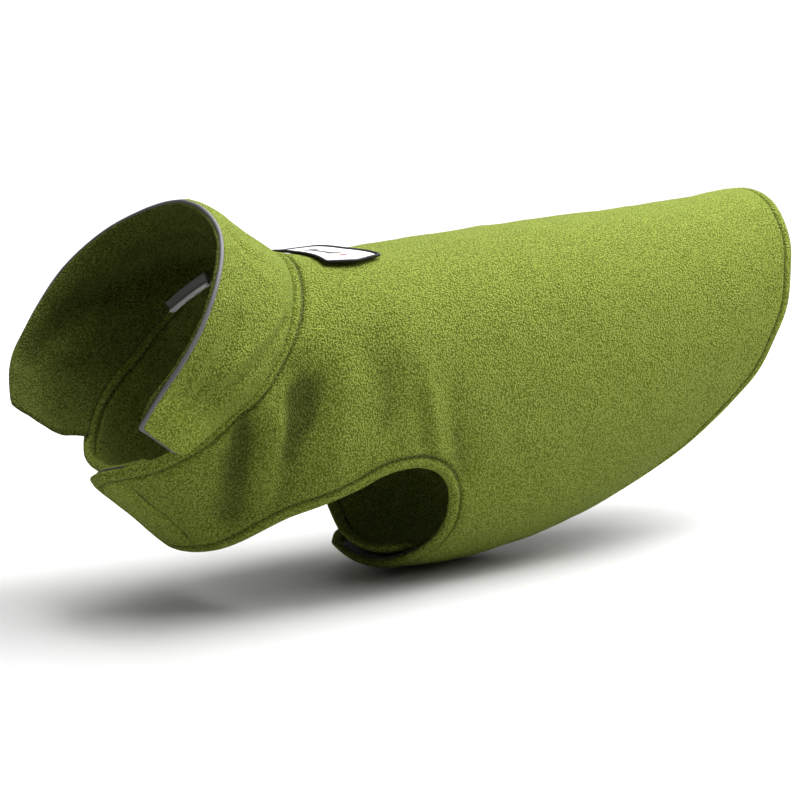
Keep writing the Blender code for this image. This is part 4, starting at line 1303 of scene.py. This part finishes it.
class BodyCloth(bpy.types.Operator):
    """Body panel: back, sides, chest bands and belly straps of two-layer fleece"""
    bl_idname = "coat.body_cloth"
    bl_label = "Body panel"

    def execute(self, context):
        sizes, _ = settings()
        parts = []
        for side in (-1, 1):
            outline, edge, inward = edge_inward(side)
            under_collar = (outline[:, 0] < NECK_TO) & (np.abs(outline[:, 1]) < UNDER_COLLAR)
            inward = averaged(np.where(under_collar[:, None], 0.0, inward), TURN_SMOOTHING)
            for name, grid in half_panel(side, CLOTH_STEP).items():
                section, angle = grid[..., 0], grid[..., 1]
                face = cloth_point(section, angle)
                nearest = nearest_on(face, edge)
                gap = zero_on(distance_to(face, edge, nearest), FREE_SIDES[name]) / MM
                half = edge_profile(gap * MM, sizes.wall)
                tape = tape_distance(section, angle, side)
                inside = smooth_step(gap, GROOVE_AT, GROOVE_AT + CREASE_FROM)
                half = half - CREASE_DEPTH * MM * hump(tape, 0.0, CREASE_WIDTH) * inside
                relief = fold_height(section, angle, CREASES)
                height = relief + fold_height(section, angle, FOLDS)
                relief = (relief + waver(face)) * smooth_step(gap, 0.0, RELIEF_FROM)
                past = (inward[nearest] * -OVERHANG * MM
                        * (1 - smooth_step(gap, 0.0, OVERHANG_WIDTH))[..., None])
                outer, inner = (cloth_point(section, angle, relief - sizes.wall / 2 + out) + past
                                for out in (half, -half))
                size = section.shape
                # last values: painted shade in the troughs of the outer face and over all of the inner
                # face
                parts.append((outer, grid_faces(*size, flip=side < 0),
                              (gap, tape, -hollow(-height))))
                # inner face: painted shade all over it, deeper in troughs
                parts.append((inner, grid_faces(*size, flip=side > 0),
                              (gap, 0 * gap - TAPE_FAR, -inside_shade(height, "body"))))
        cloth = fleece_object("body_cloth", *weld(parts))
        dress(cloth, "fleece", "body_panel")
        return {"FINISHED"}


class CollarCloth(bpy.types.Operator):
    """Collar: stand-up fleece band, open at the front, with its edge turned over the piping"""
    bl_idname = "coat.collar_cloth"
    bl_label = "Collar"

    def execute(self, context):
        sizes, _ = settings()
        cloth = fleece_object("collar_cloth", *collar_surface(sizes.wall))
        dress(cloth, "fleece", "collar")
        return {"FINISHED"}


class Piping(bpy.types.Operator):
    """Piping: grey cord along the collar's rim and down its front ends"""
    bl_idname = "coat.piping"
    bl_label = "Piping"

    def execute(self, context):
        sizes, colours = settings()
        path = piping_path(sizes.piping, 420)
        points, faces = tube_surface(path[:, :3], path[:, 3], 20)
        cord = mesh_object("piping_cord", points, faces, cord_look(colours))
        dress(cord, "piping", "collar_piping")
        return {"FINISHED"}


class BackPatch(bpy.types.Operator):
    """Patch: small woven patch on the back with an overlocked border"""
    bl_idname = "coat.back_patch"
    bl_label = "Back patch"

    def execute(self, context):
        sizes, colours = settings()
        u = np.linspace(-1, 1, 97)[None, :]
        v = np.linspace(-1, 1, 57)[:, None]
        x = v * (PATCH_HALF_ALONG - PATCH_IN_BORDER) + 0 * u
        y = u * (PATCH_HALF_ACROSS - PATCH_IN_BORDER + PATCH_POINT * (1 - np.abs(v)))
        rim = np.minimum(1 - np.abs(u), 1 - np.abs(v))
        lift = CLOSE + sizes.patch * (0.25 + 0.75 * smooth_step(rim, 0, 0.08))
        top, under = (back_point(x + PATCH_CENTRE_X, y, out + patch_stand_off(y))
                      for out in (lift, CLOSE - TAPE_CLEAR))
        plan = np.concatenate([np.stack([x, y], -1).reshape(-1, 2)] * 2) / PATCH_PLAN + 0.5
        patch = mesh_object("patch_cloth", *slab(top, under), patch_look(colours), plan=plan)
        dress(patch, "patch", "back_patch")

        x, y = hexagon(PATCH_HALF_ACROSS, PATCH_HALF_ALONG).T
        path = back_point(x + PATCH_CENTRE_X, y, CLOSE + sizes.border + patch_stand_off(y))
        ring = evenly(np.concatenate([path, path[:1]]), 1201)[:-1]

        def strands(length, turn):
            return 1 + 0.09 * np.cos(2 * np.pi * length / 0.00085 + 1.2 * np.sin(turn))

        points, faces = tube_surface(ring, sizes.border, 14, closed=True, ridge=strands)
        border = mesh_object("patch_edging", points, faces, border_look(colours))
        dress(border, "border", "patch_border")
        return {"FINISHED"}


class NeckLabel(bpy.types.Operator):
    """Neck label: plain ribbon loop caught in the neck seam"""
    bl_idname = "coat.neck_label"
    bl_label = "Neck label"

    def execute(self, context):
        sizes, colours = settings()
        wall = sizes.wall
        angle = np.linspace(*LABEL_ANGLES, 25)[:, None]
        loop = np.array(LABEL_LOOP)
        fine = np.linspace(0, len(loop) - 1, 40)
        rows = np.column_stack([np.arange(len(loop)), loop])
        depth, spread = (column(rows, k, fine)[None, :, None] for k in (1, 2))
        seam = collar_point(angle, LABEL_UP, -wall - CLOSE)
        edge = neck_edge(angle)
        inward = unit(cloth_point(edge, angle, -wall) - cloth_point(edge, angle))
        forward = unit(cloth_point(edge, angle) - cloth_point(edge + EDGE_STEP, angle))
        leaf = seam + inward * depth * sizes.label_depth + forward * spread * sizes.label_gap
        normal = unit(np.cross(np.gradient(leaf, axis=0), np.gradient(leaf, axis=1)))
        outward = np.sign((normal * (leaf - leaf.mean(1, keepdims=True))).sum(-1).mean())
        other = leaf - normal * sizes.label * outward
        # 1 at the fold, which keeps the ribbon's white; painted shade darkens the leaves nearer the
        # seam
        fold = smooth_step(np.broadcast_to(depth[..., 0], leaf.shape[:2]),
                           LABEL_FOLD_FROM - LABEL_FOLD_SOFT, LABEL_FOLD_FROM + LABEL_FOLD_SOFT)
        label = mesh_object("label_ribbon", *slab(leaf, other, turned=True), label_look(colours),
                            {"fold": np.tile(fold.ravel(), 2)})
        dress(label, "label", "neck_label")
        return {"FINISHED"}


class ClosureTapes(bpy.types.Operator):
    """Closure tapes: hook tape on the outer bands, loop tape on the inner ones"""
    bl_idname = "coat.closure_tapes"
    bl_label = "Closure tapes"

    def execute(self, context):
        sizes, colours = settings()
        hook = tape_look("hook_tape", tuple(colours.tape), 0.0009, 0.0003)
        loop = tape_look("loop_tape", times(1.4, colours.tape), 0.0007, 0.0002)
        for row in TAPES:
            tape = dict(zip(TAPE_COLUMNS, row))
            side, v, u = (tape["side"], *(np.linspace(tape["from_" + way], tape["to_" + way], 40)
                                          for way in ("row", "column")))
            u, v = (np.concatenate([[0.0], at, [1.0]]) for at in (u ** BLOCK_CROWD, v))
            grid = block(half_edges(side), tape["block"], u, v)[1:-1, 1:-1]
            section, angle = grid[..., 0], grid[..., 1] * side
            if side < 0:
                material, slot, thick, highest = hook, "hook_tape", sizes.hook, -sizes.wall - TAPE_CLEAR
            else:
                material, slot, thick, highest = loop, "loop_tape", sizes.loop, sizes.loop + TAPE_CLEAR
            top, under = (cloth_point(section, angle, out) for out in (highest, highest - thick))
            piece = mesh_object(tape["piece"] + "_woven", *slab(top, under, side < 0), material)
            dress(piece, slot, tape["piece"])
        return {"FINISHED"}


class Stitching(bpy.types.Operator):
    """Topstitching: thread along every turned edge and tape seam, on both faces"""
    bl_idname = "coat.stitching"
    bl_label = "Topstitching"

    def execute(self, context):
        sizes, colours = settings()
        paths, normals = [], []
        sunk = (GROOVE_DEPTH - THREAD_UP) * MM
        for side in (-1, 1):
            lines = [stitch_line(side, GROOVE_AT * MM)]
            lines += [path_at(points, np.linspace(0.06, 0.94, 80)) * np.array([1, side])
                      for seam_side, points in TAPE_SEAMS if seam_side == side]
            for section, angle in (line.T for line in lines):
                for out, way in ((-sunk, 1), (-sizes.wall + sunk, -1)):
                    paths.append(cloth_point(section, angle, out))
                    normals.append(cloth_normal(section, angle) * way)
        pieces = stitches(paths, normals, sizes.stitch_pitch, sizes.stitch, sizes.thread, 0.0003)
        thread = mesh_object("topstitching", *pieces, thread_look(colours))
        dress(thread, "fleece")
        return {"FINISHED"}


class Studio(bpy.types.Operator):
    """Studio: pale floor, soft lights and the camera"""
    bl_idname = "coat.studio"
    bl_label = "Studio"

    CAMERA_TARGET = (0.036, 0.0, -0.0813)
    CAMERA_AZIMUTH, CAMERA_ELEVATION, CAMERA_DISTANCE, CAMERA_LENS = -40.0, 9.0, 1.3392, 110.0
    LIGHT_COLUMNS = ("name", "x", "y", "z", "aim_x", "aim_y", "aim_z", "size", "watts")
    LIGHTS = (              # metres from the camera's target
        ("key_light", 0.939, -0.788, 1.028, 0.0, 0.0, 0.0, 1.5, 13.0),
        ("high_light", 0.518, -0.435, 1.450, 0.0, 0.0, 0.0, 1.5, 22.0),
        ("rear_high_light", 0.674, 0.059, 1.450, 0.0, 0.0, 0.0, 1.5, 22.0),
        ("rear_light", 1.221, 0.107, 1.028, 0.0, 0.0, 0.0, 1.5, 14.0),
        ("top_light", 0.0, 0.0, 1.600, 0.0, 0.0, 0.0, 1.8, 25.0),
        ("backdrop_light", 1.286, 1.532, 1.800, 2.058, 2.451, 0.200, 2.0, 80.0),
    )
    SKY = 0.09
    SWEEP_AHEAD, SWEEP_RUN, SWEEP_RADIUS, SWEEP_HEIGHT, SWEEP_WIDE = 3.0, 2.2, 1.2, 3.5, 5.0

    def looking(self, place, back):
        """Matrix of a lamp or camera at a place, with its back turned to a direction."""
        return Matrix.Translation(place) @ back.to_track_quat("Z", "Y").to_matrix().to_4x4()

    def sweep(self, level):
        """Pale paper: flat under the coat, then a quarter circle, then straight up behind it;
        the same profile at every place across."""
        turn = np.radians(np.linspace(0, 90, 25))
        run, radius = self.SWEEP_RUN, self.SWEEP_RADIUS
        behind = np.concatenate([[-self.SWEEP_AHEAD], run + radius * np.sin(turn),
                                 [run + radius]])
        height = np.concatenate([[0], radius * (1 - np.cos(turn)), [self.SWEEP_HEIGHT]])
        azimuth = np.radians(self.CAMERA_AZIMUTH)
        away = np.array([-np.sin(azimuth), np.cos(azimuth)])
        side = np.array([np.cos(azimuth), np.sin(azimuth)])
        across = np.linspace(-self.SWEEP_WIDE, self.SWEEP_WIDE, 9)
        plan = behind[:, None, None] * away + across[None, :, None] * side
        points = np.concatenate([plan, np.broadcast_to(height[:, None, None] + level,
                                                       (*plan.shape[:2], 1))], -1)
        return points.reshape(-1, 3), grid_faces(*plan.shape[:2], flip=True)

    def execute(self, context):
        _, colours = settings()
        scene = context.scene
        scene.view_settings.view_transform = "Standard"
        target = Vector(self.CAMERA_TARGET)
        floor = mesh_object("floor", *self.sweep(CAD_BOX[0][2] - 0.0008), floor_look(colours))
        for row in self.LIGHTS:
            light = dict(zip(self.LIGHT_COLUMNS, row))
            data = bpy.data.lights.new(light["name"], "AREA")
            data.shape, data.size, data.energy = "DISK", light["size"], light["watts"]
            place, aim = (Vector([light[at + axis] for axis in "xyz"]) for at in ("", "aim_"))
            lamp = add_object(light["name"], data)
            lamp.matrix_world = self.looking(target + place, (place - aim).normalized())
        world = bpy.data.worlds.new("studio")
        world.use_nodes = True
        background = world.node_tree.nodes["Background"]
        background.inputs["Color"].default_value = (1, 1, 1, 1)
        background.inputs["Strength"].default_value = self.SKY
        scene.world = world
        data = bpy.data.cameras.new("camera")
        data.lens, data.sensor_width, data.sensor_fit = self.CAMERA_LENS, 36.0, "HORIZONTAL"
        data.clip_end = 100.0
        azimuth, elevation = np.radians((self.CAMERA_AZIMUTH, self.CAMERA_ELEVATION))
        way = Vector((np.sin(azimuth) * np.cos(elevation), -np.cos(azimuth) * np.cos(elevation),
                      np.sin(elevation)))
        camera = add_object("camera", data)
        camera.matrix_world = self.looking(target + way * self.CAMERA_DISTANCE, way)
        scene.camera = camera
        return {"FINISHED"}


PIECES = (BodyCloth, CollarCloth, Piping, BackPatch, NeckLabel, ClosureTapes, Stitching, Studio)


class CoatPanel(bpy.types.Panel):
    """Buttons for the coat's pieces, and its sizes and colours"""
    bl_idname = "VIEW3D_PT_coat"
    bl_label = "Dog winter coat"
    bl_space_type = "VIEW_3D"
    bl_region_type = "UI"
    bl_category = "Coat"

    def draw(self, context):
        layout = self.layout
        for piece in PIECES:
            layout.operator(piece.bl_idname)
        for group in (context.scene.coat_sizes, context.scene.coat_colours):
            box = layout.box()
            for key in group.__annotations__:
                box.prop(group, key)


CLASSES = (CoatSizes, CoatColours, *PIECES, CoatPanel)


def register():
    for cls in CLASSES:
        bpy.utils.register_class(cls)
    bpy.types.Scene.coat_sizes = bpy.props.PointerProperty(type=CoatSizes)
    bpy.types.Scene.coat_colours = bpy.props.PointerProperty(type=CoatColours)


def unregister():
    del bpy.types.Scene.coat_colours
    del bpy.types.Scene.coat_sizes
    for cls in reversed(CLASSES):
        bpy.utils.unregister_class(cls)


def main():
    register()
    sizes, colours = settings()
    fleece_look(colours, sizes)
    for piece in PIECES:
        group, name = piece.bl_idname.split(".")
        getattr(getattr(bpy.ops, group), name)()


if __name__ == "__main__":
    main()
